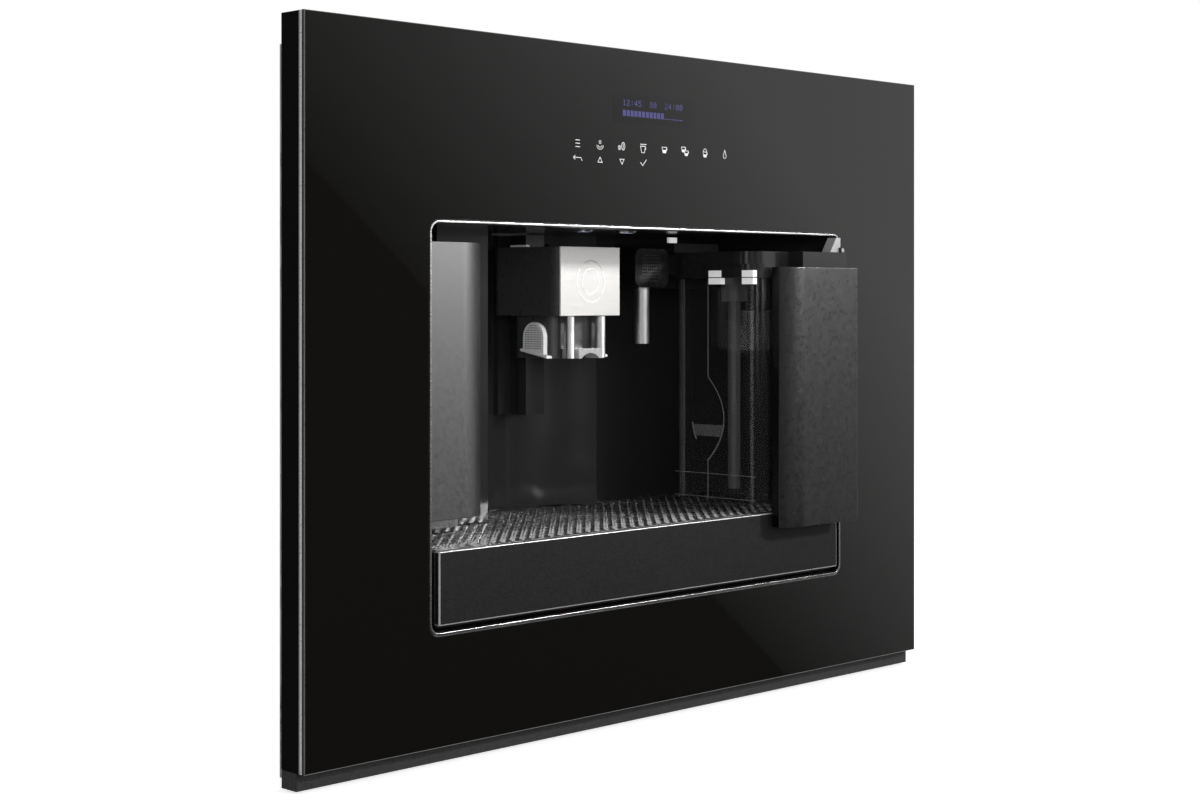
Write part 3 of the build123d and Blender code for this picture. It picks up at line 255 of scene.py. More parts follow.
class Finish(Shader):
    """A material on the Principled shader, with patterns in Object coordinates."""

    def __init__(self, name, colour=None, **sockets):
        self.material = bpy.data.materials.new(name)
        self.material.use_nodes = True
        super().__init__(self.material.node_tree)
        self.principled = self.tree.nodes["Principled BSDF"]
        self.place = self.node("TexCoord", out="Object")
        if colour:
            self.set("Base Color", colour)
        for socket, value in sockets.items():
            self.set(socket.replace("_", " "), value)

    def set(self, socket, value):
        if isinstance(value, Value):
            self.tree.links.new(value.socket, self.principled.inputs[socket])
        else:
            self.principled.inputs[socket].default_value = value

    def noise(self, scale, detail=2.0, stretch=(1.0, 1.0, 1.0)):
        where = self.node("Mapping", {}, {"Vector": self.place, "Scale": stretch})
        return self.node("TexNoise", {}, {"Vector": where, "Scale": scale, "Detail": detail})

    def spots(self, scale):
        where = {"Vector": self.place, "Scale": scale}
        return self.node("TexVoronoi", {}, where, out="Distance")

    def spread(self, value, low, high):
        """A pattern's middle stretched over a span of values."""
        return self.node("MapRange", {}, {0: value, 1: 0.3, 2: 0.7, 3: low, 4: high})

    def speckle(self, scale, detail=4.0):
        """Fine pattern from 0 to 1, as flakes in a paint or grains in a moulding."""
        return self.spread(self.noise(scale, detail), 0.0, 1.0)

    def tones(self, share, low, high):
        self.set("Base Color", self.blend(share, low, high))

    def glow(self, share, low, high):
        self.set("Emission Color", self.blend(share, low, high))

    def dull(self, pattern, low, high):
        """Roughness that follows a pattern between two values."""
        self.set("Roughness", self.spread(pattern, low, high))

    def haze(self, pattern, low, high):
        """Alpha that follows a pattern between two values."""
        self.set("Alpha", self.spread(pattern, low, high))

    def relief(self, height, depth, strength):
        bump = {"Strength": strength, "Distance": depth, "Height": height}
        self.set("Normal", self.node("Bump", {}, bump))

    def grain(self, scale, depth, strength, detail=2.0):
        self.relief(self.noise(scale, detail), depth, strength)

    def part(self, axis):
        return self.node("SeparateXYZ", {}, {0: self.place}, out=axis)


sharp_turn = math.radians(32)


def broken_edges(name, node, finish, radius, chamfer=None, segments=2):
    """Copy of a CAD node with its sharp edges rounded as on the real piece. It stands for the node."""
    mesh = frame["nodes"][node].data.copy()
    work = bmesh.new()
    work.from_mesh(mesh)
    bmesh.ops.remove_doubles(work, verts=work.verts, dist=2e-6)
    bmesh.ops.dissolve_limit(work, angle_limit=math.radians(0.5), verts=work.verts, edges=work.edges)
    work.to_mesh(mesh)
    work.free()
    mesh.materials.clear()
    mesh.materials.append(finish.material)
    if chamfer:
        mesh.materials.append(chamfer.material)
    rough = bpy.data.objects.new(name + "_rough", mesh)
    scene.collection.objects.link(rough)
    bevel = rough.modifiers.new("edges", "BEVEL")
    bevel.width = radius
    bevel.segments = segments
    bevel.limit_method = "ANGLE"
    bevel.angle_limit = math.radians(40)
    bevel.material = 1 if chamfer else -1
    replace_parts(as_piece(name, rough, frame["nodes"][node]["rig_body"]), node)


def shade_smooth(mesh):
    """Smooth shading up to the sharp edges."""
    for face in mesh.polygons:
        face.use_smooth = True
    mesh.set_sharp_from_angle(angle=sharp_turn)


def new_piece(name, mesh, body):
    """Object whose place is in its mesh. It rides on a body and keeps its mesh's finishes."""
    piece = bpy.data.objects.new(name, mesh)
    scene.collection.objects.link(piece)
    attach(piece, body)
    return piece


def as_piece(name, rough, body):
    """Plain piece from an object with modifiers: its shape is kept first, and then its shading."""
    shaped = kept_mesh(rough)
    shade_smooth(shaped)
    rough = bpy.data.objects.new(name + "_shaped", shaped)
    scene.collection.objects.link(rough)
    shading = rough.modifiers.new("shading", "WEIGHTED_NORMAL")
    shading.keep_sharp = True
    mesh = kept_mesh(rough)
    mesh.name = name
    return new_piece(name, mesh, body)


def kept_mesh(rough):
    """Mesh of an object as its modifiers leave it. The object goes."""
    bpy.context.view_layer.update()
    shown = rough.evaluated_get(bpy.context.evaluated_depsgraph_get())
    mesh = bpy.data.meshes.new_from_object(shown)
    bpy.data.objects.remove(rough)
    return mesh


def mesh_of(name, work, *finishes):
    """Mesh of what was built, its faces turned outwards, with its finishes."""
    bmesh.ops.recalc_face_normals(work, faces=work.faces)
    mesh = bpy.data.meshes.new(name)
    work.to_mesh(mesh)
    work.free()
    for finish in finishes:
        mesh.materials.append(finish.material)
    return mesh


glass_low, glass_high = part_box("glass_panel")
trim_low, trim_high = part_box("niche_trim")
front_y, back_y = glass_low.y, glass_high.y
arris, opening_gap, opening_radius = 0.0004, 0.0003, 0.0078
arc_steps = 8
arc_points = arc_steps + 1


def sheet_outlines(inset):
    """Corners of the sheet and points of its opening, both drawn back from their edges."""
    low_x, high_x = glass_low.x + inset, glass_high.x - inset
    low_z, high_z = glass_low.z + inset, glass_high.z - inset
    corners = [(high_x, high_z), (low_x, high_z), (low_x, low_z), (high_x, low_z)]
    reach = opening_radius + inset
    inward = opening_radius - opening_gap
    left, right = trim_low.x + inward, trim_high.x - inward
    bottom, top = trim_low.z + inward, trim_high.z - inward
    opening = []
    for index, (x, z) in enumerate(((right, top), (left, top), (left, bottom), (right, bottom))):
        for step in range(arc_points):
            angle = math.radians(90 * (index + step / arc_steps))
            opening.append((x + reach * math.cos(angle), z + reach * math.sin(angle)))
    return corners, opening


black_glass = Finish("black_glass", (0.0045, 0.0042, 0.0038, 1.0), IOR=1.5)
black_glass.dull(black_glass.noise(9.0, 4.0), 0.012, 0.035)
ground_edge = Finish("ground_glass_edge", Metallic=0.5)
ground_edge.dull(ground_edge.noise(900.0, 2.0), 0.25, 0.4)
edge_depth = ground_edge.part("Y") - front_y
# Bands by depth along the ground edge: partly the edge's own pale grinding, while the bright band is a
# painted highlight of light caught on the polished edge.
edge_highlight_tones = [(0.0, 0.16), (0.12, 0.16), (0.16, 0.02), (0.4, 0.02)]
edge_highlight_tones += [(0.44, 0.8), (0.76, 0.8), (0.8, 0.25), (1.0, 0.2)]
edge_highlight_stops = [(share, grey(tone)) for share, tone in edge_highlight_tones]
edge_share = ground_edge.node("MapRange", {}, {0: edge_depth, 1: 0.0, 2: back_y - front_y, 3: 0.0, 4: 1.0})
ground_edge.set("Base Color", ground_edge.node("ValToRGB", {"stops": edge_highlight_stops}, {0: edge_share}))

work = bmesh.new()
rings = []
layers = ((arris, front_y), (0.0, front_y + arris), (0.0, back_y - arris), (arris, back_y))
for inset, y in layers:
    corners, opening = sheet_outlines(inset)
    rings.append([[work.verts.new((x, y, z)) for x, z in outline] for outline in (corners, opening)])
for corners, opening in (rings[0], rings[-1]):
    for index, corner in enumerate(corners):
        first = arc_points * index + arc_steps // 2
        inner = [opening[(first + step) % len(opening)] for step in range(arc_points + 1)]
        work.faces.new([corner] + inner + [corners[(index + 1) % len(corners)]])
for near, far in zip(rings, rings[1:]):
    for outline, (low_ring, high_ring) in enumerate(zip(near, far)):
        for index, corner in enumerate(low_ring):
            following = (index + 1) % len(low_ring)
            side = work.faces.new((corner, low_ring[following], high_ring[following], high_ring[index]))
            side.material_index = 1 if outline == 0 or (near is not rings[1]) else 0
            side.smooth = outline == 1
sheet_mesh = mesh_of("front_glass_sheet", work, black_glass, ground_edge)
sheet_mesh.set_sharp_from_angle(angle=sharp_turn)
glass_sheet = new_piece("front_glass_sheet", sheet_mesh, "machine")
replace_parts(glass_sheet, "glass_panel")


# ---------------------------------------------------------------- frame, strip and niche trim
# Folded steel frame with black satin powder coat behind the glass, a moulded strip with a fine
# spark-eroded grain under it, and a bright drawn aluminium trim round the niche.

powder_coat = Finish("black_powder_coat", grey(0.002), Specular_IOR_Level=0.02)
powder_coat.dull(powder_coat.noise(60.0), 0.38, 0.52)
powder_coat.grain(1400.0, 0.00004, 0.6)
broken_edges("front_frame_coated", "front_frame", powder_coat, 0.0006)

strip_grain = Finish("grained_strip_plastic", Specular_IOR_Level=0.2)
strip_grain.dull(strip_grain.noise(700.0), 0.45, 0.65)
strip_speckle = strip_grain.speckle(1100.0)
strip_grain.tones(strip_speckle, grey(0.01), grey(0.03))
strip_grain.grain(1300.0, 0.0002, 0.8, 3.0)
broken_edges("bottom_strip_moulded", "vent_strip", strip_grain, 0.0006)

trim_metal = Finish("drawn_trim_metal", grey(0.2), Metallic=1.0)
trim_lines = trim_metal.noise(300.0, 3.0, (0.1, 6.0, 6.0))
trim_metal.dull(trim_lines, 0.2, 0.34)
trim_metal.relief(trim_lines, 0.00002, 0.4)
broken_edges("niche_trim_drawn", "niche_trim", trim_metal, 0.0004)


# ---------------------------------------------------------------- display and touch symbols
# The display is a dot-matrix module glued behind a clear window in the enamel. Twelve symbols
# are left clear in the enamel and lit from the touch board: they show as pale printed marks.


def repeated(name, body, slot, points, finish, turn=(0.0, 0.0, 0.0), **sizes):
    """The same small solid at every point: a Block, a ring of Wire, or a disc with a Height."""
    sizes["Turn"] = turn
    tree = bpy.data.node_groups.new(name, "GeometryNodeTree")
    face = tree.interface
    face.new_socket("Points", in_out="INPUT", socket_type="NodeSocketGeometry")
    face.new_socket("Solids", in_out="OUTPUT", socket_type="NodeSocketGeometry")
    kinds = {"Sides": "Int", "Turn": "Vector", "Block": "Vector"}
    keys = {}
    for size in sizes:
        kind = "NodeSocket" + kinds.get(size, "Float")
        keys[size] = face.new_socket(size, in_out="INPUT", socket_type=kind).identifier

    def step(kind, out=None, **sources):
        made = tree.nodes.new("GeometryNode" + kind)
        for socket, source in sources.items():
            tree.links.new(source, made.inputs[socket.replace("_", " ")])
        return made.outputs[out]

    entry = tree.nodes.new("NodeGroupInput").outputs
    if "Block" in sizes:
        solid = step("MeshCube", "Mesh", Size=entry["Block"])
    elif "Wire" in sizes:
        circle = step("CurvePrimitiveCircle", "Curve", Resolution=entry["Sides"], Radius=entry["Radius"])
        wire = step("CurvePrimitiveCircle", "Curve", Radius=entry["Wire"])
        wire.node.inputs["Resolution"].default_value = 4
        solid = step("CurveToMesh", "Mesh", Curve=circle, Profile_Curve=wire)
    else:
        sides, radius, height = entry["Sides"], entry["Radius"], entry["Height"]
        solid = step("MeshCylinder", "Mesh", Vertices=sides, Radius=radius, Depth=height)
    at_points = {"Points": entry["Points"], "Instance": solid, "Rotation": entry["Turn"]}
    spread = step("InstanceOnPoints", "Instances", **at_points)
    realized = step("RealizeInstances", "Geometry", Geometry=spread)
    painted = step("SetMaterial", "Geometry", Geometry=realized)
    painted.node.inputs["Material"].default_value = finish.material
    leave = tree.nodes.new("NodeGroupOutput")
    tree.links.new(painted, leave.inputs["Solids"])
    mesh = bpy.data.meshes.new(name)
    mesh.from_pydata([tuple(point) for point in points], [], [])
    rough = bpy.data.objects.new(name + "_points", mesh)
    scene.collection.objects.link(rough)
    pattern = rough.modifiers.new("pattern", "NODES")
    pattern.node_group = tree
    for size, key in keys.items():
        pattern[key] = sizes[size]
    return as_piece(name, rough, body)


def flat_piece(name, body, slot, outlines, level, thick, finish, axis="Y"):
    """Thin solids whose outlines lie square to an axis, at a level on it, and go on by a thickness."""
    at = "XYZ".index(axis)
    work = bmesh.new()
    for outline in outlines:
        near, far = [
            [work.verts.new((*point[:at], depth, *point[at:])) for point in outline]
            for depth in (level, level + thick)
        ]
        work.faces.new(near)
        work.faces.new(far[::-1])
        for index, corner in enumerate(near):
            following = (index + 1) % len(near)
            work.faces.new((corner, far[index], far[following], near[following]))
    return new_piece(name, mesh_of(name, work, finish), body)


def ring_points(x, z, radius_x, radius_z, first=0.0, last=360.0, count=24):
    angles = [math.radians(first + (last - first) * step / count) for step in range(count + 1)]
    return [(x + radius_x * math.cos(angle), z + radius_z * math.sin(angle)) for angle in angles]


def pen_line(points, width):
    """Outlines of short bars that follow a line of points."""
    bars = []
    for (x1, z1), (x2, z2) in zip(points, points[1:]):
        length = math.hypot(x2 - x1, z2 - z1)
        if length < 1e-6:
            continue
        dx, dz = (x2 - x1) / length * width / 2, (z2 - z1) / length * width / 2
        x1, z1, x2, z2 = x1 - dx * 0.8, z1 - dz * 0.8, x2 + dx * 0.8, z2 + dz * 0.8
        bars.append([(x1 - dz, z1 + dx), (x1 + dz, z1 - dx), (x2 + dz, z2 - dx), (x2 - dz, z2 + dx)])
    return bars


def cup_lines(x, z, width, height):
    """Outline of a cup seen from the side, its handle, and its filled lower half."""
    rim, foot = width / 2, width / 3.4
    middle = (rim + foot) / 2
    top, bottom = z + height / 2, z - height / 2
    wall = [(x - rim, top), (x - foot, bottom), (x + foot, bottom), (x + rim, top), (x - rim, top)]
    handle = ring_points(x + middle, z + height * 0.16, width * 0.17, height * 0.2, -80, 80, 8)
    filled = [(x - middle, z), (x - foot, bottom), (x + foot, bottom), (x + middle, z)]
    return wall, handle, filled


glass_face = -0.213
mm = 0.001
window_x, window_z = (-41.5 * mm, 37.5 * mm), (406.8 * mm, 424.9 * mm)
window_film = Finish("display_window", (0.0016, 0.0016, 0.0028, 1.0), IOR=1.5)
window_film.dull(window_film.noise(14.0), 0.02, 0.05)
window_place = {"level": glass_face - 0.08 * mm, "thick": 0.06 * mm, "finish": window_film}
flat_piece("display_window_film", "machine", "black_plastic", [oblong(window_x, window_z)], **window_place)

digit_rows = {
    "0": ("01110", "10001", "10011", "10101", "11001", "10001", "01110"),
    "1": ("00100", "01100", "00100", "00100", "00100", "00100", "01110"),
    "2": ("01110", "10001", "00001", "00110", "01000", "10000", "11111"),
    "4": ("00010", "00110", "01010", "10010", "11111", "00010", "00010"),
    "5": ("11111", "10000", "11110", "00001", "00001", "10001", "01110"),
    "8": ("01110", "10001", "10001", "01110", "10001", "10001", "01110"),
    ":": ("00000", "00100", "00100", "00000", "00100", "00100", "00000"),
    "|": ("11111", "11111", "11111", "11111", "11111", "11111", "11111"),
    "_": ("00000", "00000", "00000", "00000", "00000", "00000", "11111"),
    " ": ("00000", "00000", "00000", "00000", "00000", "00000", "00000"),
}
display_lines = ("12:45  80  24:00", "|||||||||||_____")
digit_pitch, line_pitch, dot_pitch = 3.75 * mm, 7.0 * mm, 0.58 * mm
text_left, text_top, dots_y = window_x[0] + 9.2 * mm, window_z[1] - 3.2 * mm, glass_face - 0.12 * mm
display_dots = []
for line, text in enumerate(display_lines):
    for column, digit in enumerate(text):
        for row, dots in enumerate(digit_rows[digit]):
            left, up = text_left + column * digit_pitch, text_top - line * line_pitch - row * dot_pitch
            lit = [dot for dot in range(5) if dots[dot] == "1"]
            display_dots += [(left + dot * dot_pitch, dots_y, up) for dot in lit]
matt_print = {"Roughness": 0.6, "Specular_IOR_Level": 0.0}
display_glow = Finish("display_dots_lit", (0.03, 0.03, 0.06, 1.0), Emission_Strength=0.55, **matt_print)
display_glow.glow(display_glow.noise(60.0), (0.12, 0.11, 0.42, 1.0), (0.3, 0.29, 0.68, 1.0))
dot_size = (0.46 * mm, 0.04 * mm, 0.46 * mm)
repeated("display_dots", "machine", "black_plastic", display_dots, display_glow, Block=dot_size)

symbol_paint = Finish("symbol_print", grey(0.7), Emission_Strength=0.3, **matt_print)
symbol_paint.glow(symbol_paint.noise(300.0), grey(0.8), grey(1.0))

# The symbols are drawn in millimetres, eight in an upper row and four in a lower one.
pitch, first_x, upper_z, lower_z = 20.9, -75.2, 390.2, 380.2
strokes, filled_faces = [], []
for step in (-2.2, 0.0, 2.2):
    strokes.append([(first_x - 1.9, upper_z + step), (first_x + 1.9, upper_z + step)])
x = first_x + pitch
strokes.append(ring_points(x, upper_z + 1.9, 0.95, 1.0, count=12))
for radius_x, radius_z in ((3.0, 2.6), (1.7, 1.2)):
    strokes.append(ring_points(x, upper_z - 0.3, radius_x, radius_z, 180, 360, 12))
x = first_x + 2 * pitch
for shift_x, shift_z, radius_x, radius_z in ((-2.4, -0.8, 1.1, 1.4), (1.2, 0.3, 1.6, 2.6)):
    strokes.append(ring_points(x + shift_x, upper_z + shift_z, radius_x, radius_z, count=16))
    strokes.append(ring_points(x + shift_x - 1.2, upper_z + shift_z, 1.3, radius_z, -60, 60, 6))
x = first_x + 3 * pitch
strokes += cup_lines(x - 0.4, upper_z - 0.9, 4.8, 4.4)[:2]
strokes.append([(x - 2.8, upper_z + 2.6), (x + 2.8, upper_z + 2.6)])
cups = [(first_x + 4 * pitch, upper_z - 0.2, 4.8, 3.8), (first_x + 5 * pitch - 1.5, upper_z + 1.1, 4.2, 3.4)]
cups += [(first_x + 5 * pitch + 1.4, upper_z - 1.3, 4.2, 3.4), (first_x + 6 * pitch, upper_z - 1.2, 4.2, 3.6)]
for x, z, width, height in cups:
    *lines, filled = cup_lines(x, z, width, height)
    strokes += lines
    filled_faces.append(filled)
strokes.append(ring_points(first_x + 6 * pitch, upper_z + 0.6, 1.9, 2.1, 0, 180, 10))
x = first_x + 7 * pitch
drop = [(x, upper_z + 3.0), (x - 1.3, upper_z - 0.6)]
strokes.append(drop + ring_points(x, upper_z - 1.3, 1.5, 1.6, 160, 380, 12) + [drop[0]])
x, tip_z = first_x, lower_z + 0.7
strokes.append([(x - 4.0, tip_z), (x + 3.0, tip_z), (x + 4.0, lower_z - 1.2)])
strokes.append([(x - 2.4, tip_z + 1.2), (x - 4.0, tip_z), (x - 2.4, tip_z - 1.2)])
for index, up in ((1, 1.0), (2, -1.0)):
    x = first_x + index * pitch
    corners = [(x - 2.1, lower_z - 1.5 * up), (x + 2.1, lower_z - 1.5 * up), (x, lower_z + 1.9 * up)]
    strokes.append(corners + [corners[0]])
x = first_x + 3 * pitch
strokes.append([(x - 2.8, lower_z + 0.2), (x - 0.8, lower_z - 1.9), (x + 3.0, lower_z + 2.2)])
symbol_bars, pen_width = [], 0.42 * mm
for stroke in strokes:
    symbol_bars += pen_line([(across * mm, up * mm) for across, up in stroke], pen_width)
symbol_bars += [[(across * mm, up * mm) for across, up in filled] for filled in filled_faces]
print_place = {"level": glass_face - 0.1 * mm, "thick": 0.08 * mm, "finish": symbol_paint}
flat_piece("touch_symbols", "machine", "front_glass", symbol_bars, **print_place)


# ---------------------------------------------------------------- niche liner and cup lights
# Deep-drawn liner of gloss black plastic with a round recess, screwed behind the frame. Two lamp
# lenses are pressed into its ceiling, each in a small bright ring.


def dress(finish, *nodes):
    """Gives a finish to CAD nodes that keep their own shape."""
    for node in nodes:
        for place in frame["nodes"][node].material_slots:
            place.material = finish.material


def turned(name, body, profile, centre, finish, steps=48):
    """Solid of revolution from (radius, height) points about an upright axis through a centre."""
    work = bmesh.new()
    loop = [work.verts.new((radius, 0.0, height)) for radius, height in profile]
    edges = [work.edges.new((loop[i], loop[(i + 1) % len(loop)])) for i in range(len(loop))]
    bmesh.ops.spin(work, geom=loop + edges, axis=(0, 0, 1), cent=(0, 0, 0), angle=math.tau, steps=steps)
    bmesh.ops.remove_doubles(work, verts=work.verts, dist=1e-6)
    bmesh.ops.translate(work, vec=Vector(centre), verts=work.verts)
    mesh = mesh_of(name, work, finish)
    shade_smooth(mesh)
    return new_piece(name, mesh, body)


liner_gloss = Finish("liner_gloss_black", grey(0.02), IOR=1.5)
liner_gloss.dull(liner_gloss.noise(25.0, 4.0), 0.07, 0.16)
liner_gloss.grain(18.0, 0.0006, 0.25, 1.0)
dress(liner_gloss, "niche_liner")

lamp_lens = Finish("lamp_lens", (0.6, 0.68, 0.85, 1.0), Roughness=0.1, Emission_Strength=0.7)
lens_cells = lamp_lens.spots(900.0)
lamp_lens.glow(lens_cells, (0.75, 0.85, 1.0, 1.0), (0.2, 0.3, 0.75, 1.0))
lamp_lens.relief(lens_cells, 0.0004, 0.8)
dress(lamp_lens, "cup_lights")
bright_ring = Finish("bright_lamp_ring", grey(0.75), Metallic=1.0)
bright_ring.dull(bright_ring.noise(500.0), 0.08, 0.2)
ring_profile = [(0.0047, -0.0008), (0.0062, -0.0008), (0.0066, -0.0002), (0.0066, 0.0), (0.0047, 0.0)]
for side, lamp_x in (("left", -24.5 * mm), ("right", 18.5 * mm)):
    lamp_centre = (lamp_x, glass_face + 0.045, 0.335)
    turned("cup_light_ring_" + side, "machine", ring_profile, lamp_centre, bright_ring)


# ---------------------------------------------------------------- service door
# Curved door of pressed aluminium with a silver-grey metallic paint. It turns on two pins that
# stand in plastic lugs at the niche's left wall, and covers the grounds container.

silver_paint = Finish("silver_grey_paint", Metallic=1.0)
silver_flakes = silver_paint.speckle(1600.0)
silver_paint.tones(silver_flakes, grey(0.041), grey(0.060))
silver_paint.dull(silver_paint.noise(350.0), 0.38, 0.45)
silver_paint.relief(silver_flakes, 0.00003, 0.5)
broken_edges("service_door_painted", "service_door", silver_paint, 0.0008, segments=3)

inner_black = Finish("moulded_black_plastic", grey(0.012), Specular_IOR_Level=0.45)
inner_black.dull(inner_black.noise(200.0), 0.4, 0.6)
inner_black.grain(1500.0, 0.00006, 0.6, 3.0)
dress(inner_black, "door_lugs", "grounds_container", "milk_dock", "brew_frame")
dress(liner_gloss, "spout_guide")


# ---------------------------------------------------------------- drip tray
# Tray of matte black plastic with a deep front panel, and a loose grille of polished stainless
# steel with staggered round holes pressed into it.

tray_matte = Finish("tray_matte_black", Specular_IOR_Level=0.07)
tray_speckle = tray_matte.speckle(1500.0)
tray_matte.tones(tray_speckle, grey(0.003), grey(0.013))
tray_matte.dull(tray_matte.noise(500.0), 0.42, 0.58)
tray_matte.grain(1700.0, 0.00015, 0.7, 3.0)
# The pale grey of the tray front's bevelled edges is a painted highlight: the bright line along its top edge.
tray_edge_highlight = Finish("tray_edge_painted_highlight", grey(0.3), Specular_IOR_Level=0.8)
tray_edge_highlight.dull(tray_edge_highlight.noise(600.0), 0.22, 0.36)
broken_edges("tray_front_panel", "tray_front", tray_matte, 0.0009, tray_edge_highlight, 2)
dress(tray_matte, "drip_tray")

grille_steel = Finish("polished_grille_steel", Metallic=1.0)
grille_cloud = grille_steel.noise(40.0, 5.0)
grille_steel.tones(grille_cloud, grey(0.66), grey(0.88))
grille_steel.dull(grille_steel.noise(120.0, 4.0), 0.2, 0.32)
grille_steel.relief(grille_steel.noise(500.0, 3.0, (1.0, 8.0, 1.0)), 0.00002, 0.4)
dress(grille_steel, "tray_grille")

grille_low, grille_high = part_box("tray_grille")
margin, hole, hole_pitch = 7.0 * mm, 2.2 * mm, 8.6 * mm
row_pitch, rim_lift, rounding = hole_pitch / 2, 0.05 * mm, 0.01 * mm
field_x = grille_high.x - grille_low.x - 2 * margin + rounding
field_y = grille_high.y - grille_low.y - 2 * margin + rounding
hole_places = []
for row in range(int(field_y / row_pitch)):
    for column in range(int(field_x / hole_pitch)):
        x = grille_low.x + margin + hole + hole_pitch * (column + 0.5 * (row % 2))
        hole_places.append((x, grille_low.y + margin + row * row_pitch, grille_high.z + rim_lift))
rim_steel = Finish("polished_hole_rims", grey(0.8), Metallic=1.0)
rim_steel.dull(rim_steel.noise(300.0), 0.08, 0.18)
rim_sizes = {"Radius": hole + 0.12 * mm, "Wire": 0.19 * mm, "Sides": 14}
repeated("grille_hole_rims", "drip_tray", "polished_steel", hole_places, rim_steel, **rim_sizes)


# ---------------------------------------------------------------- coffee spout
# Housing of dark grey plastic that slides on a T-shaped guide, with a brushed steel plate on its
# front. Two chrome tubes run down to a grey outlet bridge; a grey thumb grip sits on each side.

housing_grey = Finish("housing_dark_grey", grey(0.045), IOR=1.5)
housing_grey.dull(housing_grey.noise(90.0), 0.24, 0.36)
housing_grey.grain(900.0, 0.00003, 0.4)
broken_edges("spout_housing_moulded", "spout_housing", housing_grey, 0.0007)

brushed_steel = Finish("brushed_plate_steel", Metallic=0.1)
brush_marks = brushed_steel.noise(900.0, 4.0, (0.04, 1.0, 2.0))
brushed_steel.tones(brush_marks, (0.50, 0.49, 0.475, 1.0), (0.60, 0.59, 0.575, 1.0))
brushed_steel.dull(brush_marks, 0.3, 0.42)
brushed_steel.relief(brush_marks, 0.00003, 0.5)
broken_edges("spout_plate_brushed", "spout_plate", brushed_steel, 0.0004)

# The oval badge place stays bare: a shallow rolled rim round a plain field.
oval_z, oval_half, oval_steps, rim_width = 0.3003, (0.0138, 0.0148), 64, 0.0005
oval_rims = []
for size in (1.0, 0.62):
    half_x, half_z = oval_half[0] * size, oval_half[1] * size
    outer, inner = [
        ring_points(0.0, oval_z, half_x - inset, half_z - inset, count=oval_steps)
        for inset in (0.0, rim_width)
    ]
    oval_rims += [[outer[i], outer[i + 1], inner[i + 1], inner[i]] for i in range(oval_steps)]
oval_steel = Finish("oval_rim_steel", grey(0.3), Metallic=1.0)
oval_steel.dull(oval_steel.noise(700.0), 0.3, 0.45)
rim_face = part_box("spout_plate")[0].y - 0.15 * mm
flat_piece("plate_oval_rim", "coffee_spout", "brushed", oval_rims, rim_face, 0.3 * mm, oval_steel)

satin_chrome = Finish("satin_chrome", grey(0.66), Metallic=1.0)
satin_chrome.dull(satin_chrome.noise(60.0, 4.0), 0.28, 0.38)
broken_edges("coffee_tubes_chrome", "coffee_tubes", satin_chrome, 0.0003)

outlet_grey = Finish("outlet_grey", grey(0.38), Specular_IOR_Level=0.6)
outlet_grey.dull(outlet_grey.noise(300.0), 0.25, 0.38)
outlet_grey.grain(1200.0, 0.00004, 0.4)
broken_edges("spout_bridge_moulded", "spout_bridge", outlet_grey, 0.0006)
grip_grey = Finish("grip_light_grey", grey(0.8), Specular_IOR_Level=0.5)
grip_grey.dull(grip_grey.noise(400.0), 0.35, 0.5)
grip_grey.grain(1500.0, 0.00004, 0.5)
broken_edges("spout_grips_moulded", "spout_grips", grip_grey, 0.0008)

grip_middle, grip_foot, grip_crown = glass_face + 0.0915, 0.2530, 0.26075
grip_reach, grip_face = 0.0088, 0.02902
# Thin dark discs stand in for the dots' holes: their dark colour is painted shade.
hole_shade_discs = Finish("grip_dot_hole_shade", grey(0.012), Roughness=0.7)
hole_shade_discs.grain(800.0, 0.0001, 0.4)
grip_dots, grip_rows, grip_columns, column_pitch, line_up = [], 12, range(-6, 7), 1.5 * mm, 1.6 * mm
for row in range(grip_rows):
    for column in grip_columns:
        y, z = column * column_pitch, grip_foot + row * line_up
        inside = abs(y) < grip_reach if z < grip_crown else math.hypot(y, z - grip_crown) < grip_reach
        if inside:
            grip_dots += [(side * grip_face, grip_middle + y, z) for side in (-1, 1)]
dot_sizes = {"Radius": 0.42 * mm, "Height": 0.12 * mm, "Sides": 8, "turn": (0.0, math.pi / 2, 0.0)}
repeated("grip_dots", "coffee_spout", "grey_plastic", grip_dots, hole_shade_discs, **dot_sizes)


# ---------------------------------------------------------------- milk jug
# Clear plastic jug with a gloss black lid; a curved metallic cover hides its front. Under the lid
# hang the frothing cylinder and the grey intake tube; the milk outlet reaches over the tray.

jug_clear = Finish("jug_clear_plastic", grey(0.03), IOR=2.2)
jug_clear.dull(jug_clear.noise(30.0, 4.0), 0.05, 0.1)
jug_clear.haze(jug_clear.noise(8.0, 2.0), 0.12, 0.16)
broken_edges("jug_shell", "milk_tank", jug_clear, 0.0007)

# Painted highlights on the clear wall: pale glowing lines where light catches its parting line, a pointed
# thumb dimple and the base rim.
jug_low, jug_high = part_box("milk_tank")
jug_wall_x = jug_low.x + 1.0 * mm
line_highlight_paint = Finish("jug_wall_painted_highlight", grey(0.13), Specular_IOR_Level=0.8, Emission_Strength=0.015)
line_highlight_paint.dull(line_highlight_paint.noise(400.0), 0.15, 0.3)
highlight_speckle = line_highlight_paint.speckle(90.0, 2.0)
line_highlight_paint.glow(highlight_speckle, grey(0.4), grey(1.0))
dimple_y, dimple_z = glass_face + 0.045, 0.2
dimple_half_y, dimple_half_z = 0.0155, 0.0305


def dimple_side(side, first, last, count=14):
    """Points down one curved side of the dimple, between two heights above its middle."""
    heights = [first + (last - first) * step / count for step in range(count + 1)]
    bulge = [side * dimple_half_y * (1 - (height / dimple_half_z) ** 2) for height in heights]
    return [(dimple_y + out, dimple_z + height) for out, height in zip(bulge, heights)]


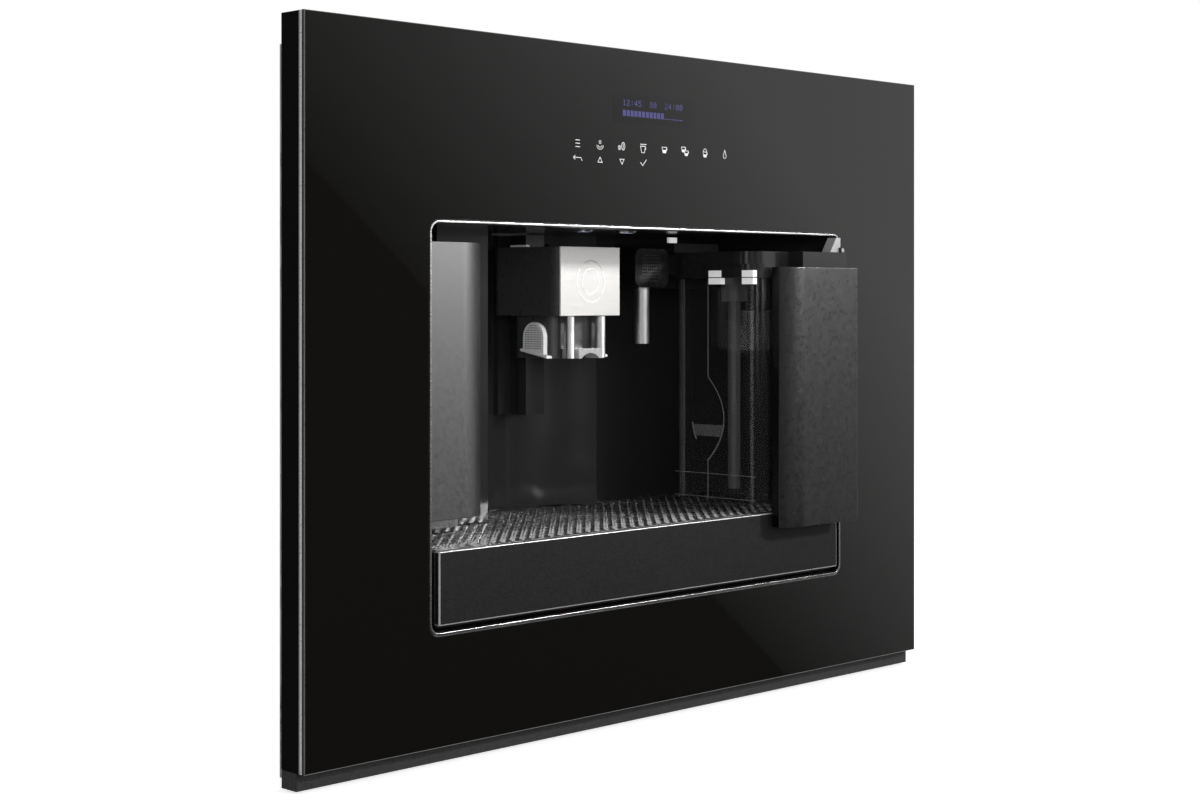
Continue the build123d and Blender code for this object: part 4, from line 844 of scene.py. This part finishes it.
thin_highlight_strokes = [[(dimple_y, 0.2305), (dimple_y, 0.3020)], [(dimple_y, 0.1410), (dimple_y, 0.1695)]]
thin_highlight_strokes.append(dimple_side(-1, -0.0025, dimple_half_z))
thin_highlight_strokes += [[(glass_face + 0.0775, rim_z), (glass_face, rim_z)] for rim_z in (0.1597, 0.1425)]
bright_highlight_strokes = [dimple_side(-1, -dimple_half_z, -0.0035), dimple_side(1, -0.0150, -0.0035, 6)]
wall_highlight_bars = []
for lines, width in ((thin_highlight_strokes, 0.38 * mm), (bright_highlight_strokes, 0.9 * mm)):
    wall_highlight_bars += [bar for line in lines for bar in pen_line(line, width)]
highlight_place = {"level": jug_wall_x - 0.2 * mm, "thick": 0.4 * mm, "finish": line_highlight_paint, "axis": "X"}
flat_piece("jug_wall_highlight_lines", "milk_jug", "clear_plastic", wall_highlight_bars, **highlight_place)

# The grey, half-clear strip in the rear corner and the pane in the dimple are painted reflections of the
# light that the curved wall catches.
wall_reflection_paint = Finish("jug_wall_painted_reflection", grey(0.13), Specular_IOR_Level=0.5)
wall_reflection_paint.dull(wall_reflection_paint.noise(200.0), 0.3, 0.42)
wall_reflection_paint.haze(wall_reflection_paint.noise(30.0), 0.5, 0.62)
corner_x, corner_y = jug_low.x + 13.0 * mm, jug_high.y - 13.0 * mm
corner_radius, band_thick, band_low, band_high = 12.05 * mm, 0.4 * mm, 0.1412, 0.3025
band_out, band_in = [
    ring_points(corner_x, corner_y, reach, reach, 130.0, 179.5, 9)
    for reach in (corner_radius, corner_radius - band_thick)
]
band_place = {"level": band_low, "thick": band_high - band_low, "finish": wall_reflection_paint, "axis": "Z"}
band_outline = band_out + band_in[::-1]
corner_strip = flat_piece("jug_corner_strip", "milk_jug", "clear_plastic", [band_outline], **band_place)
shade_smooth(corner_strip.data)

dimple_pane = dimple_side(1, -0.0130, -0.0045, 6) + dimple_side(-1, -0.0130, -0.0045, 6)[::-1]
pane_place = {"level": jug_wall_x - 0.1 * mm, "thick": 0.2 * mm, "finish": wall_reflection_paint, "axis": "X"}
flat_piece("jug_dimple_pane", "milk_jug", "clear_plastic", [dimple_pane], **pane_place)

# The neck clips are white with a faint painted glow that stands in for their highlights.
white_glow_paint = Finish("white_painted_glow", grey(0.8), Emission_Strength=0.3)
white_glow_paint.dull(white_glow_paint.noise(300.0), 0.2, 0.35)
white_glow_paint.glow(white_glow_paint.noise(60.0), grey(0.7), grey(1.0))
clip_faces = []
for near, far in ((0.0285, 0.0405), (-0.0020, 0.0085)):
    clip_y = (glass_face + near, glass_face + far)
    clip_faces += [oblong(clip_y, clip_z) for clip_z in ((0.2985, 0.3030), (0.3037, 0.3085))]
flat_piece("jug_neck_clips", "milk_jug", "clear_plastic", clip_faces, 0.0995, 0.0044, white_glow_paint, "X")

# A pale glowing patch under the niche's ceiling is a painted reflection of the jug lid's handle, and a pale
# latch sits over the spout housing.
lid_reflection_patch = oblong((0.0802, 0.0888), (0.3289, 0.3328))
flat_piece("niche_painted_lid_reflection", "machine", "chrome", [lid_reflection_patch], glass_face + 0.062, 0.002, white_glow_paint)
latch = oblong((glass_face + 0.097, glass_face + 0.114), (0.3247, 0.3260))
flat_piece("spout_latch_pale", "coffee_spout", "grey_plastic", [latch], -0.0300, 0.003, grip_grey, "X")

sleeve_smoke = Finish("froth_sleeve_smoke", grey(0.1), IOR=1.6)
sleeve_smoke.dull(sleeve_smoke.noise(60.0), 0.12, 0.22)
sleeve_smoke.haze(sleeve_smoke.noise(20.0), 0.32, 0.42)
sleeve = [(0.0166, 0.2493), (0.0180, 0.2493), (0.0180, 0.2790), (0.0166, 0.2790)]
sleeve_centre = (0.1575, glass_face + 0.050, 0.0)
turned("froth_sleeve", "milk_jug", sleeve, sleeve_centre, sleeve_smoke)

lid_gloss = Finish("lid_gloss_black", grey(0.014), IOR=1.5)
lid_gloss.dull(lid_gloss.noise(40.0, 3.0), 0.08, 0.18)
lid_gloss.grain(300.0, 0.00002, 0.3)
broken_edges("jug_lid", "milk_lid", lid_gloss, 0.0008)

cover_paint = Finish("cover_dark_metallic", Metallic=1.0)
cover_flakes = cover_paint.speckle(1700.0)
cover_paint.tones(cover_flakes, grey(0.024), grey(0.048))
cover_paint.dull(cover_paint.noise(300.0), 0.27, 0.33)
cover_paint.relief(cover_flakes, 0.00005, 0.6)
broken_edges("jug_cover_painted", "milk_cover", cover_paint, 0.0007, segments=3)

froth_grey = Finish("froth_unit_grey", grey(0.11), Specular_IOR_Level=0.6)
froth_grey.dull(froth_grey.noise(120.0), 0.16, 0.26)
froth_grey.relief(froth_grey.noise(400.0, 2.0, (1.0, 1.0, 4.0)), 0.00002, 0.3)
broken_edges("froth_unit_moulded", "froth_unit", froth_grey, 0.0006)
dress(froth_grey, "intake_tube")

head_black = Finish("milk_head_black", grey(0.004), Specular_IOR_Level=0.12)
head_black.dull(head_black.noise(150.0), 0.22, 0.34)
head_black.grain(1000.0, 0.00004, 0.4)
broken_edges("milk_head_moulded", "milk_spout_head", head_black, 0.0015, segments=4)
broken_edges("milk_tube_chrome", "milk_spout_tube", satin_chrome, 0.0003)
head_low, head_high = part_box("milk_spout_head")
head_dots, dots_across, head_pitch = [], 9, 2.3 * mm
for row in range(dots_across):
    for column in range(dots_across):
        if {row, column} <= {0, dots_across - 1}:
            continue
        x, z = head_low.x + 8.0 * mm + column * head_pitch, 0.3010 + row * head_pitch
        head_dots.append((x, head_low.y - 0.02 * mm, z))
dot_sizes = {"Radius": 0.55 * mm, "Height": 0.12 * mm, "Sides": 8, "turn": (math.pi / 2, 0.0, 0.0)}
repeated("milk_head_dots", "milk_jug", "black_plastic", head_dots, hole_shade_discs, **dot_sizes)

lever_grey = Finish("lever_pale_grey", grey(0.3), Specular_IOR_Level=0.5)
lever_grey.dull(lever_grey.noise(300.0), 0.3, 0.45)
lever_grey.grain(1200.0, 0.00004, 0.5)
broken_edges("lid_lever_moulded", "lid_lever", lever_grey, 0.0005)


# ---------------------------------------------------------------- casing and rails
# Zinc-coated sheet steel folded and screwed together; the telescopic rails are plain cold-rolled
# steel with a little oil on them, and show when the machine is pulled out.

zinc_sheet = Finish("zinc_coated_sheet", Metallic=0.9)
spangle = zinc_sheet.node("TexVoronoi", {}, {"Vector": zinc_sheet.place, "Scale": 90.0}, out="Color")
zinc_tone = zinc_sheet.node("SeparateColor", {}, {0: spangle}, out=0)
zinc_sheet.tones(zinc_tone, (0.42, 0.43, 0.45, 1.0), (0.6, 0.61, 0.62, 1.0))
zinc_sheet.set("Roughness", 0.34 + 0.12 * zinc_tone)
zinc_sheet.grain(30.0, 0.0003, 0.3, 3.0)
dress(zinc_sheet, "chassis_base", "side_panels", "rear_panel", "top_cover", "inner_deck")

rail_steel = Finish("cold_rolled_rail_steel", Metallic=1.0)
rail_lines = rail_steel.noise(400.0, 4.0, (1.0, 0.03, 1.0))
rail_steel.tones(rail_lines, grey(0.38), grey(0.6))
rail_steel.dull(rail_lines, 0.25, 0.42)
rail_steel.relief(rail_lines, 0.00003, 0.4)
dress(rail_steel, "rail_brackets", "rail_outer", "rail_middle", "rail_inner")

screw_zinc = Finish("screw_yellow_zinc", (0.55, 0.47, 0.3, 1.0), Metallic=1.0)
screw_zinc.dull(screw_zinc.noise(500.0), 0.25, 0.4)
broken_edges("casing_screw_heads", "casing_screws", screw_zinc, 0.0007, segments=3)
# Thin dark blocks on the screw heads stand in for the cross slots: their dark colour is painted shade.
screw_slot_shade = Finish("screw_cross_slot_shade", grey(0.03), Roughness=0.6)
screw_slot_shade.grain(900.0, 0.0001, 0.3)
screw_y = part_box("casing_screws")[1].y
screw_places = [(side * 0.248, screw_y, z) for side in (-1, 1) for z in (0.020, 0.226, 0.432)]
slot_sizes = {"flat": (4.6 * mm, 0.2 * mm, 0.9 * mm), "upright": (0.9 * mm, 0.22 * mm, 4.6 * mm)}
for way, size in slot_sizes.items():
    repeated("screw_slot_shade_" + way, "machine", "steel_dark", screw_places, screw_slot_shade, Block=size)


# ---------------------------------------------------------------- bean hopper, lids and knob
# Smoke-clear bean hopper let into the top cover, with a black lid on a rear pin, and the knob
# that sets the grind. The grinder and its steel burrs hang under the hopper.

hopper_smoke = Finish("hopper_smoke_plastic", (0.25, 0.22, 0.2, 1.0), Transmission_Weight=0.9, IOR=1.45)
hopper_smoke.dull(hopper_smoke.noise(40.0, 3.0), 0.05, 0.14)
dress(hopper_smoke, "bean_hopper")
lid_satin = Finish("lid_satin_black", grey(0.018), Specular_IOR_Level=0.5)
lid_satin.dull(lid_satin.noise(150.0), 0.32, 0.45)
lid_satin.grain(1300.0, 0.00006, 0.6, 3.0)
broken_edges("hopper_lid_moulded", "hopper_lid", lid_satin, 0.0008)
broken_edges("tank_lid_moulded", "tank_lid", lid_satin, 0.0008)
broken_edges("grind_knob_moulded", "grind_knob", lid_satin, 0.0006)
dress(inner_black, "grinder_housing", "tank_cradle", "display_module")
cut_steel = Finish("cut_burr_steel", grey(0.4), Metallic=1.0)
cut_lines = cut_steel.noise(500.0, 2.0, (1.0, 1.0, 0.1))
cut_steel.dull(cut_lines, 0.25, 0.5)
cut_steel.relief(cut_lines, 0.0004, 0.7)
dress(cut_steel, "burr", "ring_burr", "lead_screw")


# ---------------------------------------------------------------- brewing, water and electrics
# Cast motors, pump and boiler, silicone hoses, a green circuit board with black relays, the
# tinted water tank, and at the back the cord's inlet and the main switch.

cast_alloy = Finish("cast_alloy", grey(0.4), Metallic=0.9)
cast_alloy.dull(cast_alloy.noise(300.0, 4.0), 0.4, 0.6)
cast_alloy.grain(700.0, 0.0002, 0.6, 4.0)
dress(cast_alloy, "brew_motor", "grinder_motor", "boiler", "pump")
chamber_grey = Finish("chamber_grey_plastic", grey(0.3), Specular_IOR_Level=0.5)
chamber_grey.dull(chamber_grey.noise(150.0), 0.35, 0.5)
dress(chamber_grey, "brew_chamber")
hose_silicone = Finish("hose_silicone", (0.6, 0.6, 0.56, 1.0), Roughness=0.5, Subsurface_Weight=0.1)
hose_silicone.grain(600.0, 0.00005, 0.4)
dress(hose_silicone, "water_pipes")
circuit_green = Finish("circuit_board", Roughness=0.4)
board_lines = {"Vector": circuit_green.place, "Scale": 60.0, "Mortar Size": 0.03}
tracks = circuit_green.node("TexBrick", {}, board_lines, out="Fac")
board_tone = circuit_green.blend(tracks, (0.01, 0.1, 0.045, 1.0), (0.02, 0.2, 0.09, 1.0))
board_y = circuit_green.part("Y")
on_relays = (board_y < 0.1712) * (board_y > 0.0)
circuit_green.tones(on_relays, board_tone, grey(0.02))
dress(circuit_green, "control_board", "touch_board")
tank_tinted = Finish("tank_tinted_plastic", (0.55, 0.62, 0.68, 1.0), Transmission_Weight=0.9, IOR=1.45)
tank_tinted.dull(tank_tinted.noise(30.0, 3.0), 0.03, 0.1)
dress(tank_tinted, "water_tank")
broken_edges("power_inlet_moulded", "power_inlet", inner_black, 0.0004)
broken_edges("switch_frame_moulded", "switch_frame", inner_black, 0.0004)
broken_edges("switch_rocker_moulded", "switch_rocker", lid_satin, 0.0004)
